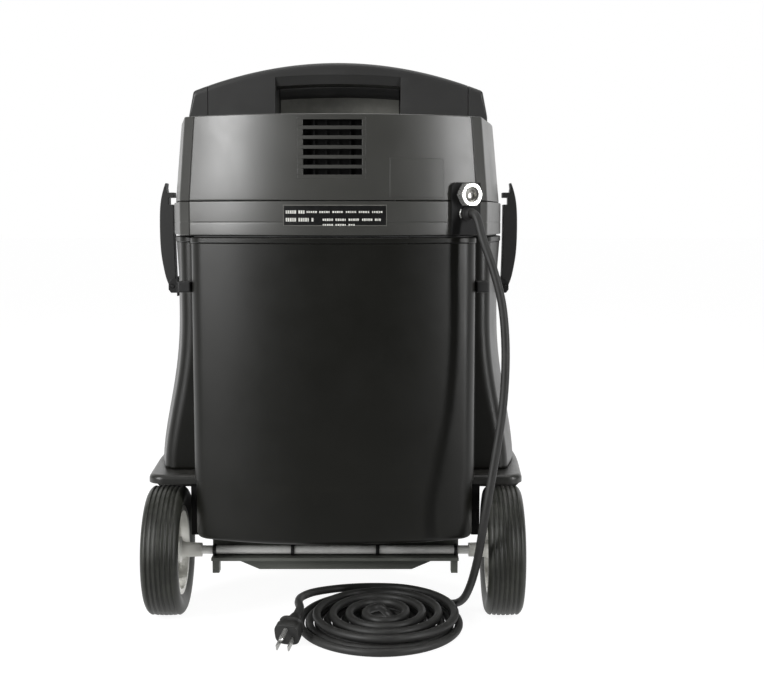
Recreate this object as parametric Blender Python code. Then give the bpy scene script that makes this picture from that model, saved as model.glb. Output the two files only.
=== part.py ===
"""Wet and dry vacuum cleaner: a motor head latched onto a dust container, on a wheeled deck.

Units are metres and +Z is up. The machine's front faces +Y and its rear faces -Y. The origin is on
the floor, in the middle of the whole object's box.
"""

import math

import bmesh
import bpy
from mathutils import Euler, Matrix, Vector

# Clearances and walls
GAP = 0.0004
WALL = 0.004

# Plan of the body
REAR_Y = -0.216
FRONT_Y = 0.236
DECK_FRONT = 0.3075
SHOULDER_Y = -0.118
PANEL_HALF = 0.1545
TUB_HALF = 0.153

# Levels
TUB_BOTTOM = 0.094
SILL_BOTTOM = 0.128
FENDER_BOTTOM = 0.148
DECK_TOP = 0.158
DECK_REAR = -0.150
CONTAINER_TOP = 0.4195
RIM_TOP = 0.4262
HEAD_BOTTOM = 0.4285
GROOVE = 0.465
CASING_TOP = 0.556
CROWN = 0.633
SHOULDER_TOP = 0.5995

# Rear wheels and axle
AXLE_Y = -0.152
WHEEL_RADIUS = 0.073
WHEEL_X = 0.1890
TYRE_INNER = 0.0505
AXLE_RADIUS = 0.0048

# Front castors
CASTOR_X = 0.14
CASTOR_Y = 0.255
CASTOR_RADIUS = 0.0375
CASTOR_TRAIL = 0.028

# Side latches
LATCH_X = 0.2025
LATCH_Z = 0.3645
LATCH_HALF = 0.009

# Handle opening in the top cover
HANDLE_REAR = -0.012
HANDLE_HALF = 0.0755
GRIP_DEPTH = 0.042
FINGER_SLOT = 0.026
GRIP_BOTTOM = 0.607
HANDLE_SEAM = 0.157

# Hose inlet on the container's front
INLET_Z = 0.31
INLET_BORE = 0.025

# Rear corner fittings, on the slanted part of the head's rear wall
FITTING_X = 0.1430
FITTING_Z = 0.4720
GLAND_Z = 0.4518
CORNER_RISE = 0.042
CORNER_RUN = 0.087
FITTING_TURN = math.atan2(CORNER_RISE, CORNER_RUN)
PLATE_OUT = 0.0040

# Front controls
PANEL_Y = FRONT_Y + GAP
CONTROL_Z = 0.512
SELECTOR_X = -0.045
SUCTION_X = 0.0
SOCKET_X = 0.050

# Mains cord
CORD_RADIUS = 0.0045
COIL_CENTRE = Vector((0.0528, -0.2000))
COIL_RADII = Vector((0.0935, 0.1094))
COIL_START = math.radians(38)
DEPTH_SHRINK = 1.12
LOWER_TURNS, LOWER_PITCH = 8, 0.0098
UPPER_TURNS, UPPER_PITCH = 4, 0.0180
LOWER_Z = CORD_RADIUS + 0.0003
UPPER_Z = 3 * CORD_RADIUS + 0.0012
PLUG_START = Vector((-0.0388, -0.2442, 0.0244))
PLUG_AIM = Vector((-0.235, -0.916, -0.321)).normalized()
PLUG_RISE = ((122, 0.0040, 0.0160), (146, 0.0010, 0.0200), (166, 0.0010, 0.0245), (184, 0.0022, 0.0290))


# ---------------------------------------------------------------- scene and mesh helpers


def clear_scene():
    for obj in list(bpy.data.objects):
        bpy.data.objects.remove(obj, do_unlink=True)


def material(name, colour, roughness, metallic=0.0):
    made = bpy.data.materials.new(name)
    made.use_nodes = True
    shader = made.node_tree.nodes["Principled BSDF"]
    shader.inputs["Base Color"].default_value = (*colour, 1.0)
    shader.inputs["Roughness"].default_value = roughness
    shader.inputs["Metallic"].default_value = metallic
    return made


def add(name, bm, finish, location=(0, 0, 0), turn=(0, 0, 0)):
    """Makes the named object from a closed bmesh, with its faces out and its edges over 35 degrees sharp."""
    bmesh.ops.recalc_face_normals(bm, faces=bm.faces)
    mesh = bpy.data.meshes.new(name)
    bm.to_mesh(mesh)
    bm.free()
    mesh.shade_smooth()
    mesh.set_sharp_from_angle(angle=math.radians(35))
    mesh.materials.append(finish)
    obj = bpy.data.objects.new(name, mesh)
    obj.location = location
    obj.rotation_euler = turn
    bpy.context.collection.objects.link(obj)
    return obj


def combine(target, bm, operation, location=(0, 0, 0), turn=(0, 0, 0)):
    """Joins or cuts the target with the bmesh, and keeps the result as the target's own mesh."""
    tool = add(f"{target.name}_tool", bm, target.data.materials[0], location, turn)
    step = target.modifiers.new("combine", "BOOLEAN")
    step.operation = operation
    step.object = tool
    graph = bpy.context.evaluated_depsgraph_get()
    made = bpy.data.meshes.new_from_object(target.evaluated_get(graph))
    target.modifiers.clear()
    target.data = made
    bpy.data.objects.remove(tool, do_unlink=True)


def cut(target, bm, location=(0, 0, 0), turn=(0, 0, 0)):
    combine(target, bm, "DIFFERENCE", location, turn)


def join(target, bm, location=(0, 0, 0), turn=(0, 0, 0)):
    combine(target, bm, "UNION", location, turn)


def twin(source, name, location, turn=(0, 0, 0)):
    """Another object with the same mesh."""
    obj = bpy.data.objects.new(name, source.data)
    obj.location = location
    obj.rotation_euler = turn
    bpy.context.collection.objects.link(obj)
    return obj


def loft(rings, closed=False):
    """Skins rings of equally many points. An open loft is capped, and a closed one ends on its first ring."""
    bm = bmesh.new()
    loops = [[bm.verts.new(point) for point in ring] for ring in rings]
    pairs = list(zip(loops, loops[1:]))
    if closed:
        pairs.append((loops[-1], loops[0]))
    else:
        bm.faces.new(reversed(loops[0]))
        bm.faces.new(loops[-1])
    for low, high in pairs:
        for i in range(len(low)):
            j = (i + 1) % len(low)
            bm.faces.new((low[i], low[j], high[j], high[i]))
    return bm


def box(low, high):
    bm = bmesh.new()
    size = Vector(high) - Vector(low)
    middle = (Vector(high) + Vector(low)) / 2
    matrix = Matrix.Translation(middle) @ Matrix.Diagonal((*size, 1.0))
    bmesh.ops.create_cube(bm, size=1.0, matrix=matrix)
    return bm


def circle(radius, z, sides):
    turns = [math.tau * i / sides for i in range(sides)]
    return [Vector((radius * math.cos(a), radius * math.sin(a), z)) for a in turns]


def turned(profile, sides, closed=False):
    """A turned piece about Z, from (radius, height) points."""
    return loft([circle(radius, z, sides) for radius, z in profile], closed)


def prism_y(points, low, high):
    """An outline of (x, z) points, extruded along Y."""
    return loft([[Vector((x, y, z)) for x, z in points] for y in (high, low)])


def prism_x(points, low, high):
    """An outline of (y, z) points, extruded along X."""
    return loft([[Vector((x, y, z)) for y, z in points] for x in (low, high)])


# ---------------------------------------------------------------- outlines


def rounded(before, corner, after, setback, steps):
    """Points of a circular arc that starts and ends the setback away from the corner."""
    start = corner + (before - corner).normalized() * setback
    end = corner + (after - corner).normalized() * setback
    weight = math.sqrt(max(0.0, (1 + (corner - start).normalized().dot((end - corner).normalized())) / 2))
    points = []
    for i in range(steps + 1):
        t = i / steps
        parts = ((1 - t) ** 2, 2 * t * (1 - t) * weight, t * t)
        points.append((start * parts[0] + corner * parts[1] + end * parts[2]) / sum(parts))
    return points


def outline(corners):
    """A closed outline, mirrored about X = 0.

    corners run from the rear middle to the front middle on the +X side, each as (x, y, setback, steps).
    The first and the last lie on X = 0.
    """
    places = [Vector(corner[:2]) for corner in corners]
    half = [places[0]]
    for i, (_, _, setback, steps) in enumerate(corners[1:-1], start=1):
        half += rounded(places[i - 1], places[i], places[i + 1], setback, steps)
    half.append(places[-1])
    return half + [Vector((-point.x, point.y)) for point in reversed(half[1:-1])]


def inset(ring, distance):
    """The outline moved inwards by the distance, or outwards where it is negative."""
    moved = []
    for i, point in enumerate(ring):
        along = (ring[(i + 1) % len(ring)] - ring[i - 1]).normalized()
        moved.append(point + Vector((-along.y, along.x)) * distance)
    return moved


def at(ring, z):
    return [Vector((point.x, point.y, z)) for point in ring]


def flare(z):
    """0 above the skirt and 1 at its foot."""
    t = min(1.0, max(0.0, (0.345 - z) / 0.190)) ** 1.3
    return t * t * (3 - 2 * t)


def container_outline(z):
    bulge = 0.0041 * max(0.0, z - 0.380) / 0.040
    side = 0.2015 + 0.0215 * flare(z) + bulge
    shoulder = 0.1745 + 0.0225 * flare(z)
    return outline(
        [
            (0, REAR_Y, 0, 0),
            (0.080, REAR_Y, 0.062, 3),
            (PANEL_HALF, REAR_Y + 0.030, 0.014, 3),
            (PANEL_HALF + 0.001, SHOULDER_Y, 0.005, 1),
            (shoulder, SHOULDER_Y, 0.013, 3),
            (side, 0.010, 0.080, 2),
            (0.165, FRONT_Y - 0.012, 0.070, 4),
            (0, FRONT_Y, 0, 0),
        ]
    )


def tub_outline():
    return outline(
        [
            (0, REAR_Y, 0, 0),
            (0.080, REAR_Y, 0.062, 3),
            (TUB_HALF, REAR_Y + 0.030, 0.014, 3),
            (TUB_HALF + 0.0002, SHOULDER_Y, 0.005, 1),
            (TUB_HALF, SHOULDER_Y + 0.040, 0.013, 3),
            (TUB_HALF - 0.001, 0.010, 0.050, 2),
            (TUB_HALF - 0.005, 0.205, 0.050, 4),
            (0, 0.215, 0, 0),
        ]
    )


def deck_outline():
    return outline(
        [
            (0, DECK_REAR, 0, 0),
            (0.2120, DECK_REAR, 0.018, 3),
            (0.2210, 0.010, 0.060, 2),
            (0.2060, 0.170, 0.060, 2),
            (0.1680, DECK_FRONT - 0.012, 0.065, 5),
            (0, DECK_FRONT, 0, 0),
        ]
    )


def head_outline(z):
    """The head's plan at a level. The band under the groove is straight, and the casing above it leans in."""
    lean = max(0.0, z - GROOVE) / (CASING_TOP - GROOVE)
    proud = 0.003 if z <= GROOVE else 0.0
    return outline(
        [
            (0, REAR_Y, 0, 0),
            (0.080, REAR_Y, 0.072, 3),
            (0.080 + CORNER_RUN - 0.007 * lean, REAR_Y + CORNER_RISE, 0.010, 3),
            (0.2035 + proud - 0.009 * lean, 0.010, 0.090, 3),
            (0.165 - 0.007 * lean, FRONT_Y - 0.012, 0.070, 4),
            (0, FRONT_Y, 0, 0),
        ]
    )


def rear_patch(x_low, x_high, z_low, z_high, out_low, out_high, steps=6):
    """A thin panel that follows the head's rear wall, between two distances out from it."""
    rings = []
    for z in (z_low, z_high):
        plan = head_outline(GROOVE if z_low < GROOVE else z)
        wall = sorted((p for p in plan if p.y < SHOULDER_Y), key=lambda p: p.x)
        inner, outer = [], []
        for i in range(steps + 1):
            x = x_low + (x_high - x_low) * i / steps
            left, right = next((a, b) for a, b in zip(wall, wall[1:]) if a.x <= x <= b.x)
            slope = (right - left).normalized()
            place = left + (right - left) * (x - left.x) / (right.x - left.x)
            out = Vector((slope.y, -slope.x))
            inner.append(place + out * out_low)
            outer.append(place + out * out_high)
        rings.append(at(outer + inner[::-1], z))
    return loft(rings)


# ---------------------------------------------------------------- container and chassis


def make_container(finish):
    tub = tub_outline()
    levels = [0.190, 0.220, 0.250, 0.285, 0.357, CONTAINER_TOP]
    floor_z = TUB_BOTTOM + WALL
    step_z = DECK_TOP + GAP + WALL
    rings = [at(inset(tub, 0.006), TUB_BOTTOM), at(inset(tub, 0.0018), TUB_BOTTOM + 0.0018)]
    rings += [at(tub, TUB_BOTTOM + 0.006), at(tub, DECK_TOP + GAP)]
    skirt = container_outline(DECK_TOP)
    pairs = zip(skirt, inset(skirt, 0.0025))
    foot = [point if point.y < SHOULDER_Y - 0.01 else edge for point, edge in pairs]
    rings += [at(foot, DECK_TOP + GAP), at(skirt, DECK_TOP + 0.004)]
    rings += [at(container_outline(z), z) for z in levels]
    for z in (CONTAINER_TOP, 0.300, 0.230, step_z):
        rings.append(at(inset(container_outline(max(z, DECK_TOP)), WALL), z))
    rings += [at(inset(tub, WALL), step_z), at(inset(tub, WALL), floor_z)]
    container = add("container", loft(rings), finish)
    bore = turned([(INLET_BORE + 0.001, 0.20), (INLET_BORE + 0.001, 0.25)], 24)
    cut(container, bore, location=(0, 0, INLET_Z), turn=(math.radians(-90), 0, 0))


def make_rim(finish):
    top = container_outline(CONTAINER_TOP)
    low, high = CONTAINER_TOP + GAP, RIM_TOP
    outer, inner = inset(top, -0.0010), inset(top, 0.008)
    rings = [at(outer, low), at(outer, high), at(inner, high), at(inner, low)]
    add("container_rim", loft(rings, True), finish)


def make_deck(finish):
    edge = deck_outline()
    rings = [at(inset(edge, 0.004), SILL_BOTTOM), at(edge, SILL_BOTTOM + 0.004)]
    rings += [at(edge, DECK_TOP - 0.005), at(inset(edge, 0.0012), DECK_TOP - 0.0012)]
    rings.append(at(inset(edge, 0.0045), DECK_TOP))
    deck = add("deck", loft(rings), finish)
    hole = inset(tub_outline(), -0.0008)
    cut(deck, loft([at(hole, SILL_BOTTOM - 0.01), at(hole, DECK_TOP + 0.01)]))
    for side in (-1, 1):
        arch = sorted((side * 0.120, side * 0.240))
        cut(deck, box((arch[0], -0.200, SILL_BOTTOM - 0.01), (arch[1], -0.068, FENDER_BOTTOM)))
        well = sorted((side * 0.1545, side * 0.1640))
        join(deck, box((well[0], DECK_REAR + 0.006, 0.088), (well[1], -0.060, FENDER_BOTTOM + 0.004)))
        boss = [(0.019, 0.0995), (0.019, SILL_BOTTOM + 0.004)]
        join(deck, turned(boss, 16), location=(side * CASTOR_X, CASTOR_Y, 0))
        bore = [(0.0062, 0.090), (0.0062, 0.131)]
        cut(deck, turned(bore, 16), location=(side * CASTOR_X, CASTOR_Y, 0))


def make_frame(finish):
    """A floor under the tub, with a lip and two pegs at the axle, and a front wall up to the deck."""
    section = [(0.087, 0.0475), (0.116, 0.060), (0.140, 0.063), (0.140, 0.0925)]
    section += [(-x, z) for x, z in reversed(section)]
    frame = add("chassis_frame", prism_y(section, -0.1425, 0.180), finish)
    join(frame, box((-0.068, 0.150, 0.050), (0.068, 0.232, 0.090)))
    join(frame, box((-0.066, 0.2172, 0.052), (0.066, 0.231, SILL_BOTTOM - GAP)))
    join(frame, box((-0.1395, -0.163, 0.0625), (0.1395, -0.140, 0.0660)))
    for side in (-1, 1):
        peg = sorted((side * 0.131, side * 0.1385))
        join(frame, box((peg[0], -0.160, 0.048), (peg[1], -0.146, 0.064)))


def make_axle(steel, clip_finish):
    end = WHEEL_X + 0.011
    turn = (0, math.radians(90), 0)
    place = Vector((0, AXLE_Y, WHEEL_RADIUS))
    add("rear_axle", turned([(AXLE_RADIUS, -end), (AXLE_RADIUS, end)], 20), steel, place, turn)
    inner, outer, half = AXLE_RADIUS + GAP, 0.0066, 0.002
    ring = [(inner, -half), (outer, -half), (outer, half), (inner, half)]
    start = place - Vector((0.1365, 0, 0))
    first = add("axle_clip_left_outer", turned(ring, 12, True), clip_finish, start, turn)
    others = {"left_inner": -0.048, "right_inner": 0.048, "right_outer": 0.1365}
    for name, x in others.items():
        twin(first, f"axle_clip_{name}", place + Vector((x, 0, 0)), turn)


def make_rear_wheels(rubber, plastic, cap_finish):
    """Both wheels lie about their local Z, which points outwards on each side."""
    half = 0.0207
    side = [(TYRE_INNER, 0.016), (0.062, half), (0.0700, half - 0.0022), (WHEEL_RADIUS, 0.010)]
    tread = [(r, -z) for r, z in side] + [(r, z) for r, z in reversed(side)]
    rim_radius = TYRE_INNER - GAP
    bore = AXLE_RADIUS + 0.0007
    rim = [(bore, -0.038), (0.008, -0.038), (0.0085, -0.018), (0.0145, -0.014), (0.0145, -0.004)]
    rim += [(0.0415, -0.004), (0.0435, -0.0165), (rim_radius, -0.0165), (rim_radius, 0.0165)]
    rim += [(0.0435, 0.0165), (0.0415, 0.004), (0.0145, 0.004), (0.0145, 0.0125), (bore, 0.0125)]
    cap = [(0.0155, 0.0129), (0.0165, 0.0150), (0.0150, 0.0185), (0.0090, 0.0205)]
    windows = 6
    made = {}
    for name, x, turn in (("left", -WHEEL_X, -90), ("right", WHEEL_X, 90)):
        place = (x, AXLE_Y, WHEEL_RADIUS)
        spin = (0, math.radians(turn), 0)
        if made:
            for part, source in made.items():
                twin(source, f"{name}_{part}", place, spin)
            continue
        made["tyre"] = add(f"{name}_tyre", turned(tread, 32, True), rubber, place, spin)
        made["hub_cap"] = add(f"{name}_hub_cap", turned(cap, 18), cap_finish, place, spin)
        wheel_rim = add(f"{name}_rim", turned(rim, 26, True), plastic)
        for i in range(windows):
            window = [(0.018, -0.0035), (0.0385, -0.0150), (0.0400, 0), (0.0385, 0.0150), (0.018, 0.0035)]
            rings = [[Vector((*corner, z)) for corner in window] for z in (-0.01, 0.01)]
            cut(wheel_rim, loft(rings), turn=(0, 0, math.tau * i / windows))
        wheel_rim.location = place
        wheel_rim.rotation_euler = spin
        made["rim"] = wheel_rim


def make_castors(steel, rubber):
    """Each fork's origin is on its swivel axis, and its wheel trails towards the rear at rest."""
    centre = Vector((0, -CASTOR_TRAIL, CASTOR_RADIUS))
    stem = [(0.021, 0.0945), (0.021, 0.0985), (0.005, 0.0985), (0.005, 0.128)]
    leg = [(-0.036, 0.031), (-0.021, 0.031), (0.014, 0.0962), (-0.017, 0.0962)]
    wheel = [(0.0036, 0.0105), (0.030, 0.0110), (0.0360, 0.0090), (CASTOR_RADIUS, 0.0050)]
    wheel = [(r, -z) for r, z in wheel] + [(r, z) for r, z in reversed(wheel)]
    across = (0, math.radians(90), 0)
    fork = add("left_castor_fork", turned(stem, 16), steel)
    for low, high in ((-0.0165, -0.0135), (0.0135, 0.0165)):
        join(fork, prism_x(leg, low, high))
    cut(fork, turned([(0.0034, -0.02), (0.0034, 0.02)], 12), centre, across)
    left, right = Vector((-CASTOR_X, CASTOR_Y, 0)), Vector((CASTOR_X, CASTOR_Y, 0))
    fork.location = left
    twin(fork, "right_castor_fork", right)
    tyre = add("left_castor_wheel", turned(wheel, 22, True), rubber, left + centre, across)
    twin(tyre, "right_castor_wheel", right + centre, across)
    pin = turned([(0.003, -0.0185), (0.003, 0.0185)], 12)
    pin = add("left_castor_pin", pin, steel, left + centre, across)
    twin(pin, "right_castor_pin", right + centre, across)


def make_latches(finish, bracket_finish, steel):
    """The right latch is modelled about its pivot, and the left one is the same mesh turned round."""
    lever = [(0.0035, -0.0030), (0.0084, 0.0100), (0.0118, 0.0257), (0.0140, 0.0400), (0.0151, 0.0560)]
    lever += [(0.0153, 0.0750), (0.0147, 0.0920), (0.0131, 0.1060), (0.0100, 0.1180), (0.0074, 0.1253)]
    lever += [(0.0059, 0.1248), (0.0066, 0.1190), (0.0058, 0.1137), (-0.0029, 0.1137), (-0.0029, 0.1073)]
    lever += [(0.0037, 0.1073), (0.0037, 0.0992), (-0.0018, 0.0992), (-0.0022, 0.0500), (-0.0034, 0.0080)]
    lever += [(-0.0042, 0.0015), (-0.0035, -0.0028), (0.0, -0.0045)]
    ear = [(-0.0055, -0.0080), (0.0020, -0.0080), (0.0050, -0.0040), (0.0050, 0.0040), (0.0010, 0.0090)]
    ear.append((-0.0055, 0.0090))
    along = (math.radians(90), 0, 0)
    right, left = Vector((LATCH_X, 0, LATCH_Z)), Vector((-LATCH_X, 0, LATCH_Z))
    half_turn = (0, 0, math.pi)
    arm = add("right_latch_lever", prism_y(lever, -LATCH_HALF, LATCH_HALF), finish)
    cut(arm, turned([(0.0025, -0.03), (0.0025, 0.03)], 12), turn=along)
    arm.location = right
    twin(arm, "left_latch_lever", left, half_turn)
    half = LATCH_HALF + 0.0045
    plate = box((-0.0066, -half, -0.012), (-0.0052, half, 0.012))
    bracket = add("right_latch_bracket", plate, bracket_finish)
    for low in (-LATCH_HALF - 0.0040, LATCH_HALF + 0.0005):
        join(bracket, prism_y(ear, low, low + 0.0035))
    cut(bracket, turned([(0.0025, -0.04), (0.0025, 0.04)], 12), turn=along)
    bracket.location = right
    twin(bracket, "left_latch_bracket", left, half_turn)
    pin = turned([(0.0021, -half - 0.0005), (0.0021, half + 0.0005)], 12)
    pin = add("right_latch_pin", pin, steel, right, along)
    twin(pin, "left_latch_pin", left, along)


def make_corner_blocks(finish):
    """Small rubber rests on the two rear edges of the container."""
    for name, side in (("left", -1), ("right", 1)):
        place = (side * 0.1634, -0.160, 0.372)
        block = box((-0.0070, -0.015, -0.006), (0.0070, 0.015, 0.006))
        add(f"{name}_corner_block", block, finish, place)


def make_inlet(finish):
    flange, tube, length = 0.043, 0.0325, 0.030
    profile = [(INLET_BORE, 0), (flange, 0), (flange - 0.001, 0.004), (tube + 0.002, 0.005), (tube, 0.008)]
    profile += [(tube, length), (INLET_BORE, length)]
    place = (0, FRONT_Y + GAP, INLET_Z)
    add("hose_inlet", turned(profile, 28, True), finish, place, (math.radians(-90), 0, 0))


# ---------------------------------------------------------------- head


def make_head_base(finish, rubber):
    top = container_outline(CONTAINER_TOP)
    low, high = RIM_TOP + GAP, HEAD_BOTTOM - GAP
    outer, inner = inset(top, 0.003), inset(top, 0.009)
    rings = [at(outer, low), at(outer, high), at(inner, high), at(inner, low)]
    add("head_seal", loft(rings, True), rubber)
    band = head_outline(GROOVE)
    rings = [at(inset(band, 0.0012), HEAD_BOTTOM), at(band, HEAD_BOTTOM + 0.0012)]
    rings += [at(band, GROOVE - 0.0010), at(inset(band, 0.0010), GROOVE)]
    rings += [at(inset(band, WALL), GROOVE), at(inset(band, WALL), HEAD_BOTTOM + 0.005)]
    base = add("head_base", loft(rings), finish)
    cut(base, turned([(0.062, 0.42), (0.062, 0.44)], 32))


def make_casing(finish):
    foot, top = GROOVE + 0.0009, CASING_TOP
    outer = [at(inset(head_outline(top), 0.0018), top), at(inset(head_outline(top), 0.0005), top - 0.0005)]
    outer += [at(head_outline(z), z) for z in (top - 0.0018, 0.530, 0.500, foot + 0.0010)]
    outer.append(at(inset(head_outline(foot), 0.0010), foot))
    inner = [at(inset(head_outline(z), WALL), z) for z in (foot, 0.510, top - WALL)]
    casing = add("head_casing", loft(outer + inner), finish)
    cut(casing, box((-0.0362, -0.230, 0.4880), (0.0362, -0.190, 0.5530 - 0.0005)))


def make_grille(finish):
    grille = add("vent_grille", box((-0.0358, -0.2158, 0.4884), (0.0358, -0.2120, 0.5521)), finish)
    slots, pitch, height = 6, 0.0101, 0.0068
    lowest = 0.5203 - pitch * (slots - 1) / 2
    for i in range(slots):
        middle = lowest + pitch * i
        cut(grille, box((-0.0320, -0.23, middle - height / 2), (0.0320, -0.20, middle + height / 2)))


def arch_section(y, base, shoulder, shoulder_z, crown_z, steps=8):
    """A cross-section of the top cover at one depth: upright cheeks under a shallow arch."""
    foot_z = CASING_TOP + GAP
    right = [Vector((base, foot_z))]
    second = Vector((shoulder * (1 - 2 / steps), crown_z - (crown_z - shoulder_z) * (1 - 2 / steps) ** 2))
    right += rounded(right[0], Vector((shoulder, shoulder_z)), second, 0.003, 3)
    for i in range(steps - 2, -1, -2):
        x = shoulder * i / steps
        right.append(Vector((x, crown_z - (crown_z - shoulder_z) * (x / shoulder) ** 2)))
    left = [Vector((-point.x, point.y)) for point in reversed(right[:-1])]
    return [Vector((point.x, y, point.y)) for point in right + left]


def top_dome():
    """The whole top, before it is split into the cover and the handle."""
    sections = [
        arch_section(HANDLE_REAR, 0.1825, 0.1742, SHOULDER_TOP, CROWN),
        arch_section(HANDLE_REAR + 0.050, 0.1825, 0.1742, SHOULDER_TOP - 0.002, CROWN - 0.001),
        arch_section(0.110, 0.1780, 0.1650, SHOULDER_TOP - 0.010, CROWN - 0.010),
        arch_section(0.170, 0.1700, 0.1500, SHOULDER_TOP - 0.022, CROWN - 0.026),
        arch_section(0.2285, 0.1600, 0.1300, SHOULDER_TOP - 0.034, CROWN - 0.046),
    ]
    return loft(sections[::-1])


def make_top(finish, handle_finish):
    """The rear middle of the dome. Fingers reach in from behind, and out through a slot in front."""
    slot_rear, slot_front = HANDLE_REAR + GRIP_DEPTH, HANDLE_REAR + GRIP_DEPTH + FINGER_SLOT
    plan = inset(head_outline(CASING_TOP), 0.006)
    hidden = (CASING_TOP - 0.01, CROWN + 0.02)
    cover = add("top_cover", top_dome(), finish)
    combine(cover, loft([at(plan, z) for z in hidden]), "INTERSECT")
    handle_low = (-HANDLE_SEAM, HANDLE_REAR - 0.01, CASING_TOP - 0.01)
    handle_high = (HANDLE_SEAM, slot_rear, CROWN + 0.02)
    cut(cover, box(handle_low, handle_high))
    cut(cover, box((-HANDLE_HALF, slot_rear - 0.01, 0.5580), (HANDLE_HALF, slot_front, CROWN + 0.02)))
    handle = add("carry_handle", top_dome(), handle_finish)
    low = (GAP - HANDLE_SEAM, HANDLE_REAR - 0.01, CASING_TOP - 0.01)
    high = (HANDLE_SEAM - GAP, slot_rear - GAP, CROWN + 0.02)
    combine(handle, box(low, high), "INTERSECT")
    cut(handle, box((-HANDLE_HALF, -0.05, 0.5580), (HANDLE_HALF, 0.10, GRIP_BOTTOM)))


def make_rear_details(label_finish, finish, black):
    out = GAP + 0.0008
    add("rating_label", rear_patch(-0.0515, 0.0580, 0.4385, 0.4610, GAP, out, 8), label_finish)
    add("service_cover", rear_patch(0.0610, 0.1180, 0.4690, 0.5100, GAP, out + 0.0002), finish)
    add("connector_plate", rear_patch(0.1262, 0.1570, 0.4292, 0.4850, GAP, PLATE_OUT, 3), black)


def make_fittings(steel, rubber):
    """The air fitting and the cord gland point out along the slanted wall's normal."""
    wall_y = REAR_Y + (FITTING_X - 0.080) * CORNER_RISE / CORNER_RUN
    out = Vector((math.sin(FITTING_TURN), -math.cos(FITTING_TURN), 0))
    turn = (math.radians(90), 0, FITTING_TURN)
    start = Vector((FITTING_X, wall_y, FITTING_Z)) + out * (PLATE_OUT + GAP)
    bore, hexagon = 0.0078, 0.0135
    nut = [(bore, 0), (hexagon - 0.0008, 0), (hexagon, 0.0008), (hexagon, 0.0092), (hexagon - 0.0012, 0.0105)]
    nut.append((bore, 0.0105))
    add("air_fitting", turned(nut, 6, True), steel, start, turn)
    start = Vector((FITTING_X, wall_y, GLAND_Z)) + out * (PLATE_OUT + GAP)
    boot = [(0.0072, 0), (0.0070, 0.004), (0.0058, 0.010), (0.0054, 0.012), (CORD_RADIUS + GAP, 0.012)]
    boot.append((CORD_RADIUS + GAP, 0))
    add("cord_gland", turned(boot, 16, True), rubber, start, turn)
    return start, out


def make_controls(panel_finish, knob_finish, socket_finish):
    panel_front = PANEL_Y + 0.004
    add("control_panel", box((-0.078, PANEL_Y, 0.4800), (0.082, panel_front, 0.5460)), panel_finish)
    forward = (math.radians(-90), 0, 0)
    for name, x, radius in (("selector_knob", SELECTOR_X, 0.0165), ("suction_knob", SUCTION_X, 0.0140)):
        profile = [(radius, 0), (radius, 0.005), (radius * 0.86, 0.0075), (radius * 0.82, 0.012)]
        profile.append((radius * 0.70, 0.0135))
        knob = add(name, turned(profile, 20), knob_finish)
        join(knob, box((-0.0022, -radius * 0.80, 0.010), (0.0022, radius * 0.80, 0.0185)))
        knob.location = (x, panel_front + GAP, CONTROL_Z)
        knob.rotation_euler = forward
    socket_y, depth = panel_front + GAP, 0.006
    low = (SOCKET_X - 0.023, socket_y, CONTROL_Z - 0.022)
    high = (SOCKET_X + 0.023, socket_y + depth, CONTROL_Z + 0.022)
    socket = add("tool_socket", box(low, high), socket_finish)
    well = turned([(0.0185, 0.002), (0.0185, 0.02)], 24)
    cut(socket, well, location=(SOCKET_X, socket_y, CONTROL_Z), turn=forward)
    hinge = Vector((SOCKET_X, socket_y + depth + 0.0022, CONTROL_Z + 0.024))
    leaf = box((-0.0225, -0.0018, -0.0460), (0.0225, 0.0012, 0.0))
    flap = add("socket_flap", leaf, socket_finish)
    join(flap, turned([(0.0018, -0.0225), (0.0018, 0.0225)], 12), turn=(0, math.radians(90), 0))
    flap.location = hinge


# ---------------------------------------------------------------- inside


def make_motor(steel, housing_finish, plate_finish):
    shaft_bore, seat = 0.0056, 0.0104
    low, high = HEAD_BOTTOM + 0.0055, HEAD_BOTTOM + 0.0105
    section = [(seat + GAP, low), (0.078, low), (0.078, high), (seat + GAP, high)]
    plate = add("motor_plate", turned(section, 24, True), plate_finish)
    for i in range(4):
        window = box((0.020, -0.014, low - 0.01), (0.056, 0.014, high + 0.01))
        cut(plate, window, turn=(0, 0, math.tau * i / 4))
    bearing = [(shaft_bore, 0), (seat, 0), (seat, 0.0050), (shaft_bore, 0.0050)]
    first = add("lower_bearing", turned(bearing, 16, True), steel, (0, 0, low))
    top = 0.530
    twin(first, "upper_bearing", (0, 0, top - 0.0050))
    shell = [(0.064, high + GAP), (0.070, high + GAP), (0.070, top - 0.003), (0.066, top), (seat + GAP, top)]
    shell += [(seat + GAP, top - 0.005), (0.064, top - 0.005)]
    add("motor_housing", turned(shell, 24, True), housing_finish)
    rotor = [(0.005, low), (0.005, 0.443), (0.056, 0.443), (0.056, 0.452), (0.012, 0.455), (0.012, 0.462)]
    rotor += [(0.036, 0.462), (0.036, 0.508), (0.012, 0.508), (0.005, 0.514), (0.005, top + 0.0005)]
    add("motor_rotor", turned(rotor, 20), steel)


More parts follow.
